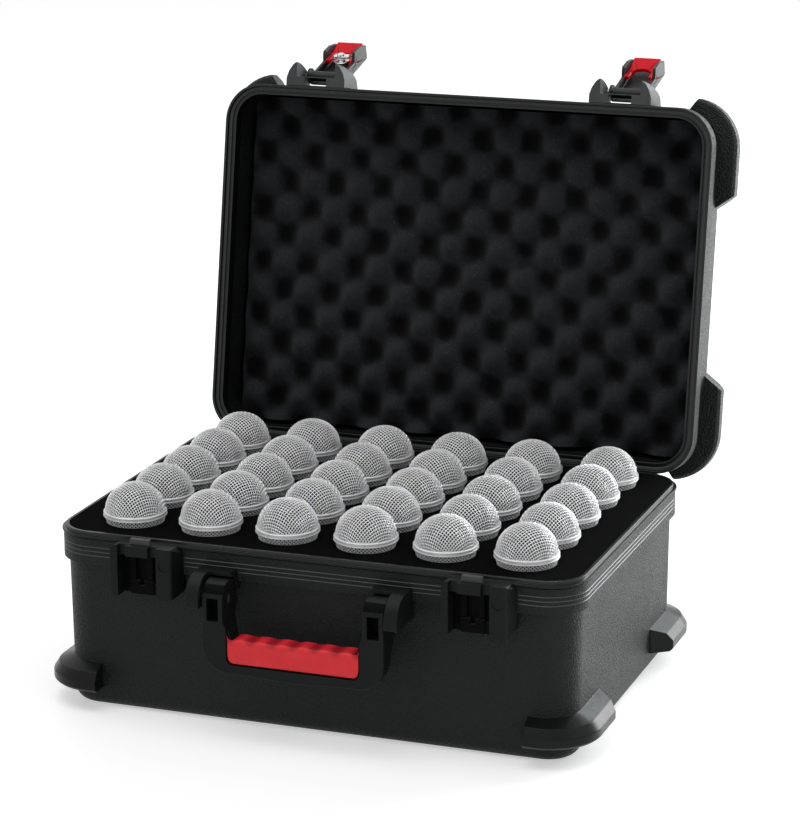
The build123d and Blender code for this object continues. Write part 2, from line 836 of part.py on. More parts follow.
def catch_housing(x):
    """The base's half of a latch: a boss with slots for the lever's hooks, and a tab that finds the lid."""
    rear = -rim_half_y + tub_inset + seat_depth
    middle = x + (catch_right_wall - catch_left_wall) / 2
    slot_middle = (slot_inner + slot_outer) / 2
    slot_width = slot_outer - slot_inner
    with BuildPart() as housing:
        with BuildSketch(Plane.XY.offset(catch_bottom)) as plan:
            with BuildLine():
                Polyline(
                    (x - catch_left_wall, rear),
                    (x - catch_left_wall, -collar_y - catch_straight),
                    (x - catch_left_front, -catch_front),
                    (x + catch_right_front, -catch_front),
                    (x + catch_right_wall, -collar_y - catch_straight),
                    (x + catch_right_wall, rear),
                    close=True,
                )
            make_face()
            fillet(plan.vertices().sort_by(Axis.Y)[:2].sort_by(Axis.X)[-1], radius=catch_corner)
        extrude(amount=rim_height - catch_bottom)
        # Rounded lower corners and bevelled upper corners, seen from the front
        with BuildSketch(Plane.XZ.offset(-rear)) as face:
            with Locations((middle, (catch_bottom + rim_height) / 2)):
                Rectangle(catch_left_wall + catch_right_wall, rim_height - catch_bottom)
            fillet(face.vertices().group_by(Axis.Y)[0].sort_by(Axis.X)[-1], radius=catch_round)
            chamfer(face.vertices().group_by(Axis.Y)[0].sort_by(Axis.X)[0], length=catch_chamfer)
            chamfer(face.vertices().group_by(Axis.Y)[-1], length=catch_chamfer)
        extrude(amount=catch_front + rear + over, mode=Mode.INTERSECT)
        # The two slots that the hooks enter, open below, under the bar that they pull on
        with BuildSketch(Plane.XZ.offset(slot_floor)):
            for side in (-1, 1):
                with Locations((x + side * slot_middle, catch_bottom)):
                    Rectangle(slot_width, 2 * (slot_top - catch_bottom))
        extrude(amount=catch_front - slot_floor + over, mode=Mode.SUBTRACT)
        # A sill across the foot of the right-hand slot
        with BuildSketch(Plane.XZ.offset(slot_floor - over)):
            with Locations((x + slot_middle, (catch_bottom + slot_sill_top) / 2)):
                Rectangle(slot_width, slot_sill_top - catch_bottom)
        extrude(amount=slot_sill_front - slot_floor + over)
        # Notches through the bar for the cheeks' near edges
        with BuildSketch(Plane.XZ.offset(catch_front - notch_depth)):
            for side in (-1, 1):
                with Locations((x + side * slot_middle, rim_height)):
                    Rectangle(slot_width, 2 * (rim_height - slot_top + over))
        extrude(amount=notch_depth + over, mode=Mode.SUBTRACT)
        # The middle is set back: a low panel with a notched top, and two striker bars above it
        with BuildSketch(Plane.XZ.offset(panel_front)):
            with Locations((x, catch_bottom)):
                Rectangle(2 * slot_inner, 2 * (slot_top - catch_bottom))
        extrude(amount=catch_front - panel_front + over, mode=Mode.SUBTRACT)
        with BuildSketch(Plane.XZ.offset(slot_floor)):
            with Locations((x, (panel_top + slot_top) / 2)):
                Rectangle(2 * slot_inner, slot_top - panel_top)
            with Locations((x, panel_top)):
                Rectangle(panel_notch, 2 * panel_notch)
            for side in (-1, 1):
                with Locations((x + side * (slot_inner - striker_width / 2), (panel_top + slot_top) / 2)):
                    Rectangle(striker_width, slot_top - panel_top - 2 * striker_end, mode=Mode.SUBTRACT)
        extrude(amount=panel_front - slot_floor + over, mode=Mode.SUBTRACT)
        # A shallow round mark on the right-hand cheek
        with BuildSketch(Plane.XZ.offset(catch_front - mark_depth)):
            with Locations((x + mark_x, mark_z)):
                Circle(mark_radius)
        extrude(amount=mark_depth + over, mode=Mode.SUBTRACT)
        # The tab that enters the lid bracket's window
        with BuildSketch(Plane.XY.offset(rim_height)):
            with Locations((x, -rim_half_y - (tab_out[0] + tab_out[1]) / 2)):
                RectangleRounded(2 * tab_half, tab_out[1] - tab_out[0], tab_corner)
        extrude(amount=tab_height, taper=tab_draft)
        add(base_form, mode=Mode.SUBTRACT)
    return housing


for side, x in (("left", -latch_x), ("right", latch_x)):
    housing = catch_housing(x)
    keep(housing, f"catch_housing_{side}")

with BuildPart() as handle_frame:
    knee_top = bar_top + arm_knee[1]
    # Seen from the side
    with BuildSketch(Plane.YZ):
        with BuildLine():
            Polyline(
                (handle_pivot_y - arm_radius, handle_pivot_z),
                (handle_pivot_y - arm_radius, 0),
                (-bar_rear, 0),
                (-bar_rear, bar_top),
                (handle_pivot_y + arm_radius, handle_pivot_z - arm_shoulder),
                (handle_pivot_y + arm_radius, handle_pivot_z),
                close=True,
            )
        make_face()
        with Locations((handle_pivot_y, handle_pivot_z)):
            Circle(arm_radius)
    extrude(amount=arm_outer, both=True)
    # Seen from the front
    with BuildSketch(Plane.XZ) as front:
        top = handle_pivot_z + arm_radius
        with BuildLine():
            Polyline(
                (-arm_inner, top),
                (-arm_outer, top),
                (-arm_outer, bar_bottom + bar_bow),
                (-bar_bow_half, bar_bottom + bar_bow),
                (0, bar_bottom),
                (bar_bow_half, bar_bottom + bar_bow),
                (arm_outer, bar_bottom + bar_bow),
                (arm_outer, top),
                (arm_inner, top),
                (arm_inner, knee_top),
                (arm_inner - arm_knee[0], bar_top),
                (arm_knee[0] - arm_inner, bar_top),
                (-arm_inner, knee_top),
                close=True,
            )
        make_face()
        corners = front.vertices().filter_by(lambda v: abs(abs(v.X) - arm_outer) < 0.1 and v.Y < bar_top)
        fillet(corners, radius=handle_corner)
    extrude(amount=arm_radius - handle_pivot_y + over, mode=Mode.INTERSECT)
    # Long recesses in the fronts of the arms
    with BuildSketch(Plane.XZ.offset(arm_radius - handle_pivot_y)):
        for side in (-1, 1):
            with Locations((side * (arm_inner + arm_outer) / 2, handle_pivot_z - arm_shoulder)):
                Rectangle(*arm_recess)
    extrude(amount=-arm_recess_depth, mode=Mode.SUBTRACT)
    # The bar's core, let in for the grip
    with BuildSketch(Plane.XZ.offset(arm_radius - handle_pivot_y - grip_skin)) as seat:
        with Locations((0, (grip_bottom + knee_top) / 2)):
            Rectangle(2 * grip_half, knee_top - grip_bottom)
        fillet(seat.vertices().group_by(Axis.Y)[0], radius=grip_corner)
    extrude(amount=grip_skin + over, mode=Mode.SUBTRACT)
    with BuildSketch(Plane.YZ):
        with Locations((handle_pivot_y, handle_pivot_z)):
            Circle(handle_pin_radius + pin_gap)
    extrude(amount=arm_outer + over, both=True, mode=Mode.SUBTRACT)
keep(handle_frame, "handle_frame")

with BuildPart() as handle_grip:
    with BuildSketch(Plane.XZ.offset(bar_rear - grip_skin)):
        valley = grip_top - (grip_bump_radius - (grip_bump_radius**2 - (grip_pitch / 2) ** 2) ** 0.5)
        with BuildLine():
            Polyline(
                (-grip_half + grip_horn, valley),
                (-grip_half, grip_top + grip_horn_height),
                (-grip_half, grip_bottom),
                (grip_half, grip_bottom),
                (grip_half, grip_top + grip_horn_height),
                (grip_half - grip_horn, valley),
                close=True,
            )
        make_face()
        with Locations((0, grip_top - grip_bump_radius)):
            with GridLocations(grip_pitch, 1, grip_bumps, 1):
                Circle(grip_bump_radius)
        with Locations((0, grip_bottom + grip_bump_radius)):
            Rectangle(2 * grip_half, 2 * grip_bump_radius, mode=Mode.INTERSECT)
    extrude(amount=arm_radius - handle_pivot_y - bar_rear + grip_skin)
    add(handle_frame, mode=Mode.SUBTRACT)
keep(handle_grip, "handle_grip")


def handle_bracket(side):
    """One of the handle's brackets: a cheek outboard of the arm, and a hood over the arm's round end."""
    rear = -rim_half_y + tub_inset + seat_depth
    with BuildPart() as bracket:
        with BuildSketch(Plane.YZ.offset(side * bracket_inner)):
            with Locations((handle_pivot_y, handle_pivot_z)):
                Circle(hood_radius)
            with Locations(((handle_pivot_y + rear) / 2, (bracket_flat + handle_pivot_z + hood_radius) / 2)):
                Rectangle(rear - handle_pivot_y, handle_pivot_z + hood_radius - bracket_flat)
            with Locations((handle_pivot_y, bracket_flat - hood_radius)):
                Rectangle(4 * hood_radius, 2 * hood_radius, mode=Mode.SUBTRACT)
        extrude(amount=side * (bracket_outer - bracket_inner))
        # The hood, behind the arm's swing
        with BuildSketch(Plane.YZ.offset(side * arm_inner)):
            with Locations((handle_pivot_y, handle_pivot_z)):
                Circle(hood_radius)
            with Locations(((handle_pivot_y + rear) / 2, handle_pivot_z + hood_radius / 2)):
                Rectangle(rear - handle_pivot_y, hood_radius)
            with Locations((handle_pivot_y, handle_pivot_z)):
                Circle(hood_radius - hood_skin, mode=Mode.SUBTRACT)
            with Locations((handle_pivot_y + hood_start - 2 * hood_radius, handle_pivot_z)):
                Rectangle(4 * hood_radius, 4 * hood_radius, mode=Mode.SUBTRACT)
            with Locations((handle_pivot_y, handle_pivot_z + hood_foot - 2 * hood_radius)):
                Rectangle(4 * hood_radius, 4 * hood_radius, mode=Mode.SUBTRACT)
        extrude(amount=side * (bracket_inner - arm_inner))
        with BuildSketch(Plane.YZ.offset(side * bracket_inner)):
            with Locations((handle_pivot_y, handle_pivot_z)):
                Circle(handle_pin_radius + pin_gap)
        extrude(amount=side * handle_pin_seat, mode=Mode.SUBTRACT)
        add(base_form, mode=Mode.SUBTRACT)
    return bracket


def handle_pin(side):
    """The pin through one arm of the handle, into its bracket."""
    start = arm_inner + handle_pin_inset
    end = bracket_inner + handle_pin_seat - handle_pin_gap
    with BuildPart() as pin:
        with BuildSketch(Plane.YZ.offset(side * start)):
            with Locations((handle_pivot_y, handle_pivot_z)):
                Circle(handle_pin_radius)
        extrude(amount=side * (end - start))
    return pin


for name, side in (("left", -1), ("right", 1)):
    bracket = handle_bracket(side)
    keep(bracket, f"handle_bracket_{name}")
    pin = handle_pin(side)
    keep(pin, f"handle_pin_{name}")


def hinge_leaf(centre, on_lid):
    """One leaf of a hinge: a plate on the shell's rear wall, and every second knuckle round the pin."""
    pitch = hinge_length / knuckles
    shell = lid_form if on_lid else base_form
    frame = lid_plane if on_lid else Plane.XY.offset(rim_height)
    way = 1 if on_lid else -1
    axis_y = hinge_y
    axis_z = hinge_z - rim_height
    wall = rim_half_y if on_lid else collar_y
    near = shut_gap + lid_leaf_rise if on_lid else axis_z - base_leaf_rise
    touch = (axis_y + knuckle_radius * web_touch[0], axis_z + way * knuckle_radius * web_touch[1])
    with BuildPart() as leaf:
        with BuildSketch(within(frame, Plane.YZ.offset(centre - hinge_length / 2))):
            with BuildLine():
                Polyline(
                    (wall - leaf_bury, near),
                    (wall - leaf_bury, near + way * leaf_height),
                    (wall + leaf_thickness - leaf_bevel[0], near + way * leaf_height),
                    (wall + leaf_thickness, near + way * (leaf_height - leaf_bevel[1])),
                    (wall + leaf_thickness, near),
                    close=True,
                )
            make_face()
        extrude(amount=hinge_length)
        for index in range(1 if on_lid else 0, knuckles, 2):
            start = centre - hinge_length / 2 + index * pitch + knuckle_gap / 2
            with BuildSketch(within(frame, Plane.YZ.offset(start))):
                with Locations((axis_y, axis_z)):
                    Circle(knuckle_radius)
                with BuildLine():
                    Polyline(
                        (axis_y - knuckle_radius, axis_z),
                        (axis_y - knuckle_radius, near + way * web_root),
                        (wall + leaf_bury, near + way * web_root),
                        (wall + leaf_thickness, near + way * web_top),
                        touch,
                        close=True,
                    )
                make_face()
            extrude(amount=pitch - knuckle_gap)
        with BuildSketch(within(frame, Plane.YZ.offset(centre - hinge_length / 2))):
            with Locations((axis_y, axis_z)):
                Circle(hinge_pin_radius + pin_gap)
        extrude(amount=hinge_length, mode=Mode.SUBTRACT)
        add(shell, mode=Mode.SUBTRACT)
    return leaf


for side, x in (("left", -hinge_x), ("right", hinge_x)):
    leaf = hinge_leaf(x, False)
    keep(leaf, f"hinge_base_leaf_{side}")
    leaf = hinge_leaf(x, True)
    keep(leaf, f"hinge_lid_leaf_{side}")
    with BuildPart() as hinge_pin:
        with BuildSketch(Plane.YZ.offset(x - hinge_length / 2)):
            with Locations((hinge_y, hinge_z)):
                Circle(hinge_pin_radius)
        extrude(amount=hinge_length)
    keep(hinge_pin, f"hinge_pin_{side}")
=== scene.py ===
"""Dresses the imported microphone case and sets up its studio."""

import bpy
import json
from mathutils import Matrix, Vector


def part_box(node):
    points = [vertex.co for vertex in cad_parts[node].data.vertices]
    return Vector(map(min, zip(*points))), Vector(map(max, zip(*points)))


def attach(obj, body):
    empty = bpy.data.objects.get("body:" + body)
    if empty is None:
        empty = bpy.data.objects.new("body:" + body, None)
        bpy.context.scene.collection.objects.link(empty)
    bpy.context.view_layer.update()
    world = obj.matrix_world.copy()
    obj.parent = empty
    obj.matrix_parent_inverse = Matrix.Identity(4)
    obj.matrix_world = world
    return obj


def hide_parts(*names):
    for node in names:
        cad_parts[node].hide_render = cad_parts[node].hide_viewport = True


bl_info = {
    "name": "Microphone Case",
    "version": (1, 0, 0),
    "blender": (4, 5, 0),
    "location": "View3D > Sidebar > Microphone Case",
    "description": "Builds the surfaces of a moulded case with thirty microphones in foam",
    "category": "Add Mesh",
}

import json
import math

import bmesh
import bpy
from bpy.props import FloatProperty, FloatVectorProperty, IntProperty, PointerProperty
from mathutils import Matrix, Vector

WHITE = (1.0, 1.0, 1.0, 1.0)
COOL = (0.92, 1.0, 1.0, 1.0)
ORIGIN = Vector((0.0, 0.0, 0.0))
FORWARDS = Vector((0.0, -1.0, 0.0))
UPWARDS = Vector((0.0, 0.0, 1.0))
MIX_SHARE, MIX_FIRST, MIX_SECOND, MIX_COLOUR = 0, 6, 7, 2  # a colour Mix node's sockets, whose names repeat

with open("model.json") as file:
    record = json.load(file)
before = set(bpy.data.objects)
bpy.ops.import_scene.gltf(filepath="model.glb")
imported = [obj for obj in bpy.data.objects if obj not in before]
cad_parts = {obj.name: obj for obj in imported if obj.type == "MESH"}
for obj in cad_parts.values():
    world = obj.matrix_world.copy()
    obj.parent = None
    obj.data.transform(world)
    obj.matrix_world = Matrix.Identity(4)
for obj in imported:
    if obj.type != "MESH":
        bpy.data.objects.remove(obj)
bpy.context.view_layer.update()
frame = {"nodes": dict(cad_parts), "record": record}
NODE_BODY = {node: body for body, nodes in frame["record"]["behaviour"]["bodies"].items() for node in nodes}


# Shader maths


class Wire:
    """A shader socket that Python's operators work on: each one adds its Math node."""

    def __init__(self, finish, socket):
        self.finish = finish
        self.socket = socket

    def math(self, operation, *values):
        return self.finish.node("ShaderNodeMath", {"operation": operation}, dict(enumerate(values)))

    def __add__(self, other):
        return self.math("ADD", self, other)

    def __radd__(self, other):
        return self.math("ADD", other, self)

    def __sub__(self, other):
        return self.math("SUBTRACT", self, other)

    def __rsub__(self, other):
        return self.math("SUBTRACT", other, self)

    def __mul__(self, other):
        return self.math("MULTIPLY", self, other)

    def __rmul__(self, other):
        return self.math("MULTIPLY", other, self)

    def largest(self, other):
        return self.math("MAXIMUM", self, other)

    def ramp(self, low, high, low_out=0.0, high_out=1.0):
        """The value taken from low..high to low_out..high_out, smoothly and clamped."""
        ends = {"Value": self, "From Min": low, "From Max": high, "To Min": low_out, "To Max": high_out}
        return self.finish.node("ShaderNodeMapRange", {"interpolation_type": "SMOOTHSTEP"}, ends)


def as_colour(value):
    """A colour of three numbers as the four that a socket takes; anything else as it is."""
    if isinstance(value, Wire) or not hasattr(value, "__len__") or len(value) != 3:
        return value
    return (*value, 1.0)


def tone(colour, share, added=0.0):
    """The colour multiplied by share, with a little added to each part."""
    return [part * share + added for part in colour]


class Finish:
    """A material, or the world: its nodes, its patterns and its shader."""

    def __init__(self, name, kind="materials"):
        self.kind = kind
        self.owner = getattr(bpy.data, kind).new(name)
        self.owner.use_nodes = True
        self.tree = self.owner.node_tree
        self.tree.nodes.clear()

    def node(self, kind, settings=None, sockets=None, out=0):
        """A node of that type: its settings first, then the values or wires of its sockets."""
        made = self.tree.nodes.new(kind)
        for key, value in (settings or {}).items():
            setattr(made, key, value)
        for key, value in (sockets or {}).items():
            if isinstance(value, Wire):
                self.tree.links.new(value.socket, made.inputs[key])
            else:
                made.inputs[key].default_value = value
        return Wire(self, made.outputs[out]) if made.outputs else None

    def output(self, wire, name):
        """Another output of the node that a wire leaves."""
        return Wire(self, wire.socket.node.outputs[name])

    def spot(self, scale=(1.0, 1.0, 1.0), turn=(0.0, 0.0, 0.0)):
        """The point on the object in metres, stretched by scale and turned."""
        point = self.node("ShaderNodeTexCoord", out="Object")
        if scale == (1.0, 1.0, 1.0) and turn == (0.0, 0.0, 0.0):
            return point
        sockets = {"Vector": point, "Scale": scale, "Rotation": turn}
        return self.node("ShaderNodeMapping", {"vector_type": "POINT"}, sockets)

    def parts(self, vector):
        """The three numbers of a vector."""
        first = self.node("ShaderNodeSeparateXYZ", None, {"Vector": vector})
        return first, self.output(first, "Y"), self.output(first, "Z")

    def noise(self, spot, size, detail=2.0, roughness=0.5):
        """Cloudy noise whose largest blots are about size metres across."""
        sockets = {"Vector": spot, "Scale": 1.0 / size, "Detail": detail, "Roughness": roughness}
        return self.node("ShaderNodeTexNoise", {"noise_dimensions": "3D"}, sockets)

    def pebbles(self, spot, size, softness):
        """Rounded grains about size metres across, 0 at their tops and higher in the joins."""
        settings = {"voronoi_dimensions": "3D", "feature": "SMOOTH_F1"}
        sockets = {"Vector": spot, "Scale": 1.0 / size, "Smoothness": softness}
        return self.node("ShaderNodeTexVoronoi", settings, sockets)

    def pores(self, spot, size):
        """Open cells about size metres across, 0 on their walls."""
        settings = {"voronoi_dimensions": "3D", "feature": "DISTANCE_TO_EDGE"}
        return self.node("ShaderNodeTexVoronoi", settings, {"Vector": spot, "Scale": 1.0 / size})

    def mixed(self, share, first, second):
        """Two colours mixed: share 0 gives the first and 1 the second."""
        sockets = {MIX_SHARE: share, MIX_FIRST: as_colour(first), MIX_SECOND: as_colour(second)}
        return self.node("ShaderNodeMix", {"data_type": "RGBA"}, sockets, out=MIX_COLOUR)

    def shaded(self, share, colour, low, high):
        """The colour multiplied by low where share is 0, and by high where it is 1."""
        return self.mixed(share, tone(colour, low), tone(colour, high))

    def relief(self, height, depth):
        """The normal of a relief that is depth metres high."""
        return self.node("ShaderNodeBump", None, {"Height": height, "Distance": depth})

    def shader(self, **sockets):
        """The Principled shader; an underscore in a name stands for a space."""
        named = {key.replace("_", " "): as_colour(value) for key, value in sockets.items()}
        return self.node("ShaderNodeBsdfPrincipled", None, named)

    def shown(self):
        """1 for what the camera, a gloss or a clear piece sees, and 0 for the light that falls on things."""
        path = self.node("ShaderNodeLightPath")
        clear = self.output(path, "Is Transmission Ray")
        return path.largest(self.output(path, "Is Glossy Ray")).largest(clear)

    def done(self, shader):
        """The finished material or world, which shows that shader."""
        output = "ShaderNodeOutputWorld" if self.kind == "worlds" else "ShaderNodeOutputMaterial"
        self.node(output, None, {"Surface": shader})
        return self.owner


# Finishes


def grained_plastic(name, colour, grain, depth, roughness, specular):
    """Moulded polyethylene with a pebble grain, blotchy in its gloss and a little dusty."""
    finish = Finish(name)
    spot = finish.spot()
    grains = finish.pebbles(spot, size=grain, softness=0.15)
    fine = finish.noise(spot, size=grain * 0.45, detail=3.0)
    blots = finish.noise(spot, size=0.05, detail=3.0)
    dust = finish.noise(spot, size=0.02, detail=6.0, roughness=0.7).ramp(0.55, 0.75)
    tint = finish.shaded(blots.ramp(0.35, 0.65), colour, 0.85, 1.15)
    pale = finish.mixed(dust * 0.25, tint, tone(colour, 1.8, 0.004))
    gloss = roughness + (blots - 0.5) * 0.15 + dust * 0.06 + grains.ramp(0.2, 0.7) * 0.2
    normal = finish.relief(fine * 0.5 - grains, depth)
    look = {"Base_Color": pale, "Roughness": gloss, "Normal": normal}
    return finish.done(finish.shader(**look, Specular_IOR_Level=specular, Specular_Tint=COOL))


def smooth_plastic(name, colour, roughness, specular=0.5):
    """Smooth moulded plastic: a faint orange peel, fine rubbed scratches and small colour shifts."""
    finish = Finish(name)
    spot = finish.spot()
    peel = finish.noise(spot, size=0.004)
    blots = finish.noise(spot, size=0.03, detail=3.0)
    drawn = finish.spot(scale=(1.0, 0.12, 0.12), turn=(0.3, 0.2, 0.5))
    strokes = finish.noise(drawn, size=0.0012, detail=3.0, roughness=0.7).ramp(0.56, 0.7)
    rubbed = strokes * blots.ramp(0.45, 0.6) * 0.3
    tint = finish.shaded(blots.ramp(0.3, 0.7), colour, 0.9, 1.12)
    pale = finish.mixed(rubbed * 0.5, tint, tone(colour, 1.6, 0.01))
    gloss = roughness + (blots - 0.5) * 0.12 + rubbed * 0.25
    normal = finish.relief(peel * 0.8 + strokes * 0.05, depth=0.00012)
    look = {"Base_Color": pale, "Roughness": gloss, "Normal": normal}
    return finish.done(finish.shader(**look, Specular_IOR_Level=specular))


def cut_foam(name, colour, cell, depth, sheen, specular, hollows=None):
    """Open-cell foam: pores, a soft nap and lint caught in it, and painted shade that turns it black where
    the named attribute nears 1.
    """
    finish = Finish(name)
    spot = finish.spot()
    cells = finish.pores(spot, size=cell)
    nap = finish.noise(spot, size=cell * 0.6, detail=4.0, roughness=0.7)
    blots = finish.noise(spot, size=0.018, detail=4.0)
    lint = finish.noise(spot, size=0.0014, roughness=0.8).ramp(0.58, 0.7)
    tint = finish.shaded(blots.ramp(0.3, 0.7), colour, 0.75, 1.25)
    open_cells = finish.mixed(cells.ramp(0.0, 0.35) * 0.6, tone(colour, 1.5), tint)
    flecked = finish.mixed(lint * 0.6, open_cells, tone(colour, 5.0))
    # Painted shade: the foam is darkened towards black in its hollows
    if hollows:
        foam_shade_share = finish.node("ShaderNodeAttribute", {"attribute_name": hollows}, out="Fac")
        foam_shade_share = foam_shade_share + (blots - 0.5) * 0.9
        flecked = finish.mixed(foam_shade_share.ramp(0.3, 0.85) * 0.95, flecked, FOAM_SHADE)
    normal = finish.relief(nap * 0.9 - cells * 0.8, depth)
    look = {"Base_Color": flecked, "Roughness": 0.92 + (nap - 0.5) * 0.1, "Normal": normal}
    soft = {"Sheen_Weight": sheen, "Sheen_Roughness": 0.5}
    return finish.done(finish.shader(**look, Specular_IOR_Level=specular, **soft))


def rubber(name, colour, roughness, shade_above=None):
    """Matt sanded rubber with greyed wear; above the given height its finger hollows are darkened as painted
    shade.
    """
    finish = Finish(name)
    spot = finish.spot()
    sand = finish.noise(spot, size=0.0005, detail=3.0, roughness=0.6)
    blots = finish.noise(spot, size=0.012, detail=4.0, roughness=0.6)
    tint = finish.shaded(blots.ramp(0.3, 0.7), colour, 0.94, 1.05)
    worn = finish.mixed(blots.ramp(0.6, 0.8) * 0.05, tint, RUBBER_WEAR)
    # Painted shade: the grip turns a darker, deeper red in the finger hollows along its top
    if shade_above:
        along, _, height = finish.parts(spot)
        hollow = along.math("COSINE", along * (2.0 * math.pi / GRIP_PITCH)) * -GRIP_HOLLOW
        hollow_shade = (height - hollow).ramp(shade_above, shade_above + GRIP_FADE)
        worn = finish.mixed(hollow_shade, worn, (colour[0] * 0.42, *GRIP_SHADE))
    look = {"Base_Color": worn, "Roughness": roughness + (blots - 0.5) * 0.15}
    normal = finish.relief(sand, depth=0.00012)
    return finish.done(finish.shader(**look, Normal=normal, Specular_IOR_Level=0.4))


def plain_metal(name, colour, roughness, brush=(1.0, 0.06, 1.0), metallic=1.0):
    """Plated, painted or brushed metal: drawn lines, small stains and a soft gloss."""
    finish = Finish(name)
    lines = finish.noise(finish.spot(scale=brush), size=0.0004, detail=3.0, roughness=0.7)
    stains = finish.noise(finish.spot(), size=0.006, detail=4.0, roughness=0.6)
    tint = finish.mixed(stains.ramp(0.45, 0.8), colour, tone(colour, 0.72))
    gloss = roughness + (lines - 0.5) * 0.2 + stains.ramp(0.5, 0.8) * 0.12
    normal = finish.relief(lines, depth=0.00002)
    return finish.done(finish.shader(Base_Color=tint, Roughness=gloss, Normal=normal, Metallic=metallic))


# Sizes in metres

LID_OPEN = math.radians(100.2)
HINGE = Vector((0.0, 0.1595, 0.1367))
RIM_HEIGHT = 0.1446
RIM_HALF = Vector((0.2189, 0.15375))
RIM_RADIUS = 0.0327
HAIR = 0.0001  # clears the faces that lie on a height
SAME_POINT = 0.000002
SEAM_POINT = 0.00001
# How far inside the rim's outline the base's tub, the collar's grooves and the lid's walls stand
TUB_INSET = 0.0052
GROOVE_INSET = 0.0015
LID_WALL_INSET = 0.0032
# Where the corner guards are: how far out of their wall, and at which heights
BASE_GUARD_OUT = 0.0008
BASE_GUARD_HEIGHTS = (0.012, 0.058)
LID_GUARD_OUT = 0.0022
LID_GUARD_HEIGHT = 0.0385
# The base guards' flat tops, and how far under and over them a vertex still counts
GUARD_TOP = 0.0375
GUARD_TOP_REACH = (0.008, 0.001)
GUARD_ANGLE = math.radians(28.0)
# The collar's grooves: how far below the rim, and how far out their floors may be
GROOVES = (0.0167, 0.0086)
GROOVE_FLOOR = 0.0002
# The lid's land ends at the first height, and the painted shade on its inner walls starts at the second, this
# far inside
LID_LAND = 0.0048
INNER_SHADE_START = 0.006
INNER_SHADE_INSIDE = 0.0022
# The base foam: its corners, how much narrower a well is than a basket, and its roundings
FOAM_CORNER = RIM_RADIUS - 0.006
WELL_TIGHT = 0.0009
WELL_SIDES = 48
ROUND_STEPS = 4
BLOCK_EDGE = 0.0015
# The lid foam, in the lid's frame: half sizes, cells, heights, first peak, pitches, point and back taper
FOAM_HALF = (0.2083, 0.1428)
FOAM_CELLS = (188, 128)
FOAM_PEAK = 0.0363
FOAM_VALLEY = 0.0505
FOAM_BACK = 0.0563
FOAM_FIRST = (-0.1518, 0.12245)
FOAM_PITCH = (0.0222, 0.024)
FOAM_POINT = 1.2
FOAM_TAPER = 0.007
# The colour of the painted shade in the lid foam's hollows
FOAM_SHADE = (0.0004, 0.0004, 0.0005)
# The grip's finger hollows: their pitch and depth, and where and how fast the painted shade in them starts
GRIP_PITCH = 0.0175
GRIP_HOLLOW = 0.0022
GRIP_SHADE_DROP = 0.0085
GRIP_FADE = 0.005
# Green and blue of the grip's painted shade; its red is the grip's red times 0.42
GRIP_SHADE = (0.0005, 0.012)
GRIP_PASSES = 45
RUBBER_WEAR = (0.6, 0.55, 0.53)
# The recesses: half the catches' width, the depths of the walls painted with shade and of the ledges painted
# with highlight, and their tops below the rim
RECESS_HALF = 0.019
RECESS_DEPTHS = (0.0045, 0.002)
RECESS_TOPS = (0.002, 0.012)
HANDLE_RECESS = 0.0015
SEAL_EDGE = 0.0006
FINE_EDGE = 0.0004
ROD_EDGE = 0.0003
EDGE_ANGLE = math.radians(32.0)
FITTING_GRAIN = {"grain": 0.0005, "depth": 0.00006}
UNBRUSHED = (1.0, 1.0, 1.0)
STEEL = (0.56, 0.56, 0.57)
CHROME = (0.8, 0.8, 0.8)
# Near black that stands for painted shade in the housings' and the handle's recesses
RECESS_SHADE = (0.0012, 0.0012, 0.0012)
LINER_BLACK = (0.002, 0.002, 0.002)
# The lid's own frame: x along the case, y from its rear to its front edge, z from the rim into the lid
LID = (
    Matrix.Translation(HINGE)
    @ Matrix.Rotation(-LID_OPEN, 4, "X")
    @ Matrix.Translation(Vector((0.0, 0.0, RIM_HEIGHT)) - HINGE)
)
LID_BACK = LID.inverted()
# The microphones: their grid, and the heights and radii of one
MIC_PITCH = Vector((0.0656, 0.0545))
MIC_GRID_Y = 0.0009
MIC_COLUMNS = 6
MIC_ROWS = 5
MIC_TURN = math.radians(65.0)
DOME_HEIGHT = 0.1556
DOME_RADIUS = 0.0236
DOME_RISE = 0.0220
DOME_REACH = math.radians(92.0)
SHORTEST_STEP = 0.3  # of the wires' pitch, from a strand's last crossing to its end
BAND_RADIUS = 0.0255
BAND_WALL = 0.0011
BASKET_TOP = 0.1516
BASKET_RADIUS = 0.0240
MIC_TAIL = 0.0148
NECK_HEIGHT = 0.1193
NECK_RADIUS = 0.0185
TAIL_RADIUS = 0.0115
FLOOR_HALF = 14.0
SENSOR = 36.0  # millimetres
# Softboxes: name, place, the point it faces, size, its power's property and colour
SOFTBOXES = (
    ("Right softbox", (2.6, -0.3, 1.9), (0.0, 0.0, 0.2), 1.8, "key_power", WHITE),
    ("Rear softbox", (1.7, 2.6, 1.5), (0.2, 0.0, 0.2), 1.6, "rear_power", WHITE),
    ("Low softbox", (1.5, 2.1, 0.55), (0.2, 0.0, 0.15), 0.9, "low_power", WHITE),
    ("Floor softbox", (0.95, 1.6, 0.9), (0.95, 1.6, 0.0), 1.2, "sweep_power", COOL),
    ("Top softbox", (-0.4, -0.6, 3.0), (0.0, 0.1, 0.2), 2.2, "top_power", WHITE),
)


def outside(x, y, inset):
    """How far a point lies outside the rim's outline taken in by inset."""
    corner = RIM_RADIUS - inset
    dx = abs(x) - (RIM_HALF.x - RIM_RADIUS)
    dy = abs(y) - (RIM_HALF.y - RIM_RADIUS)
    return math.hypot(max(dx, 0.0), max(dy, 0.0)) + min(max(dx, dy), 0.0) - corner


# Making pieces


def copied(node):
    """A copy of a CAD node's mesh, its triangles merged."""
    form = bmesh.new()
    form.from_mesh(frame["nodes"][node].data)
    bmesh.ops.remove_doubles(form, verts=form.verts, dist=SAME_POINT)
    for face in form.faces:
        face.material_index = 0
    return form


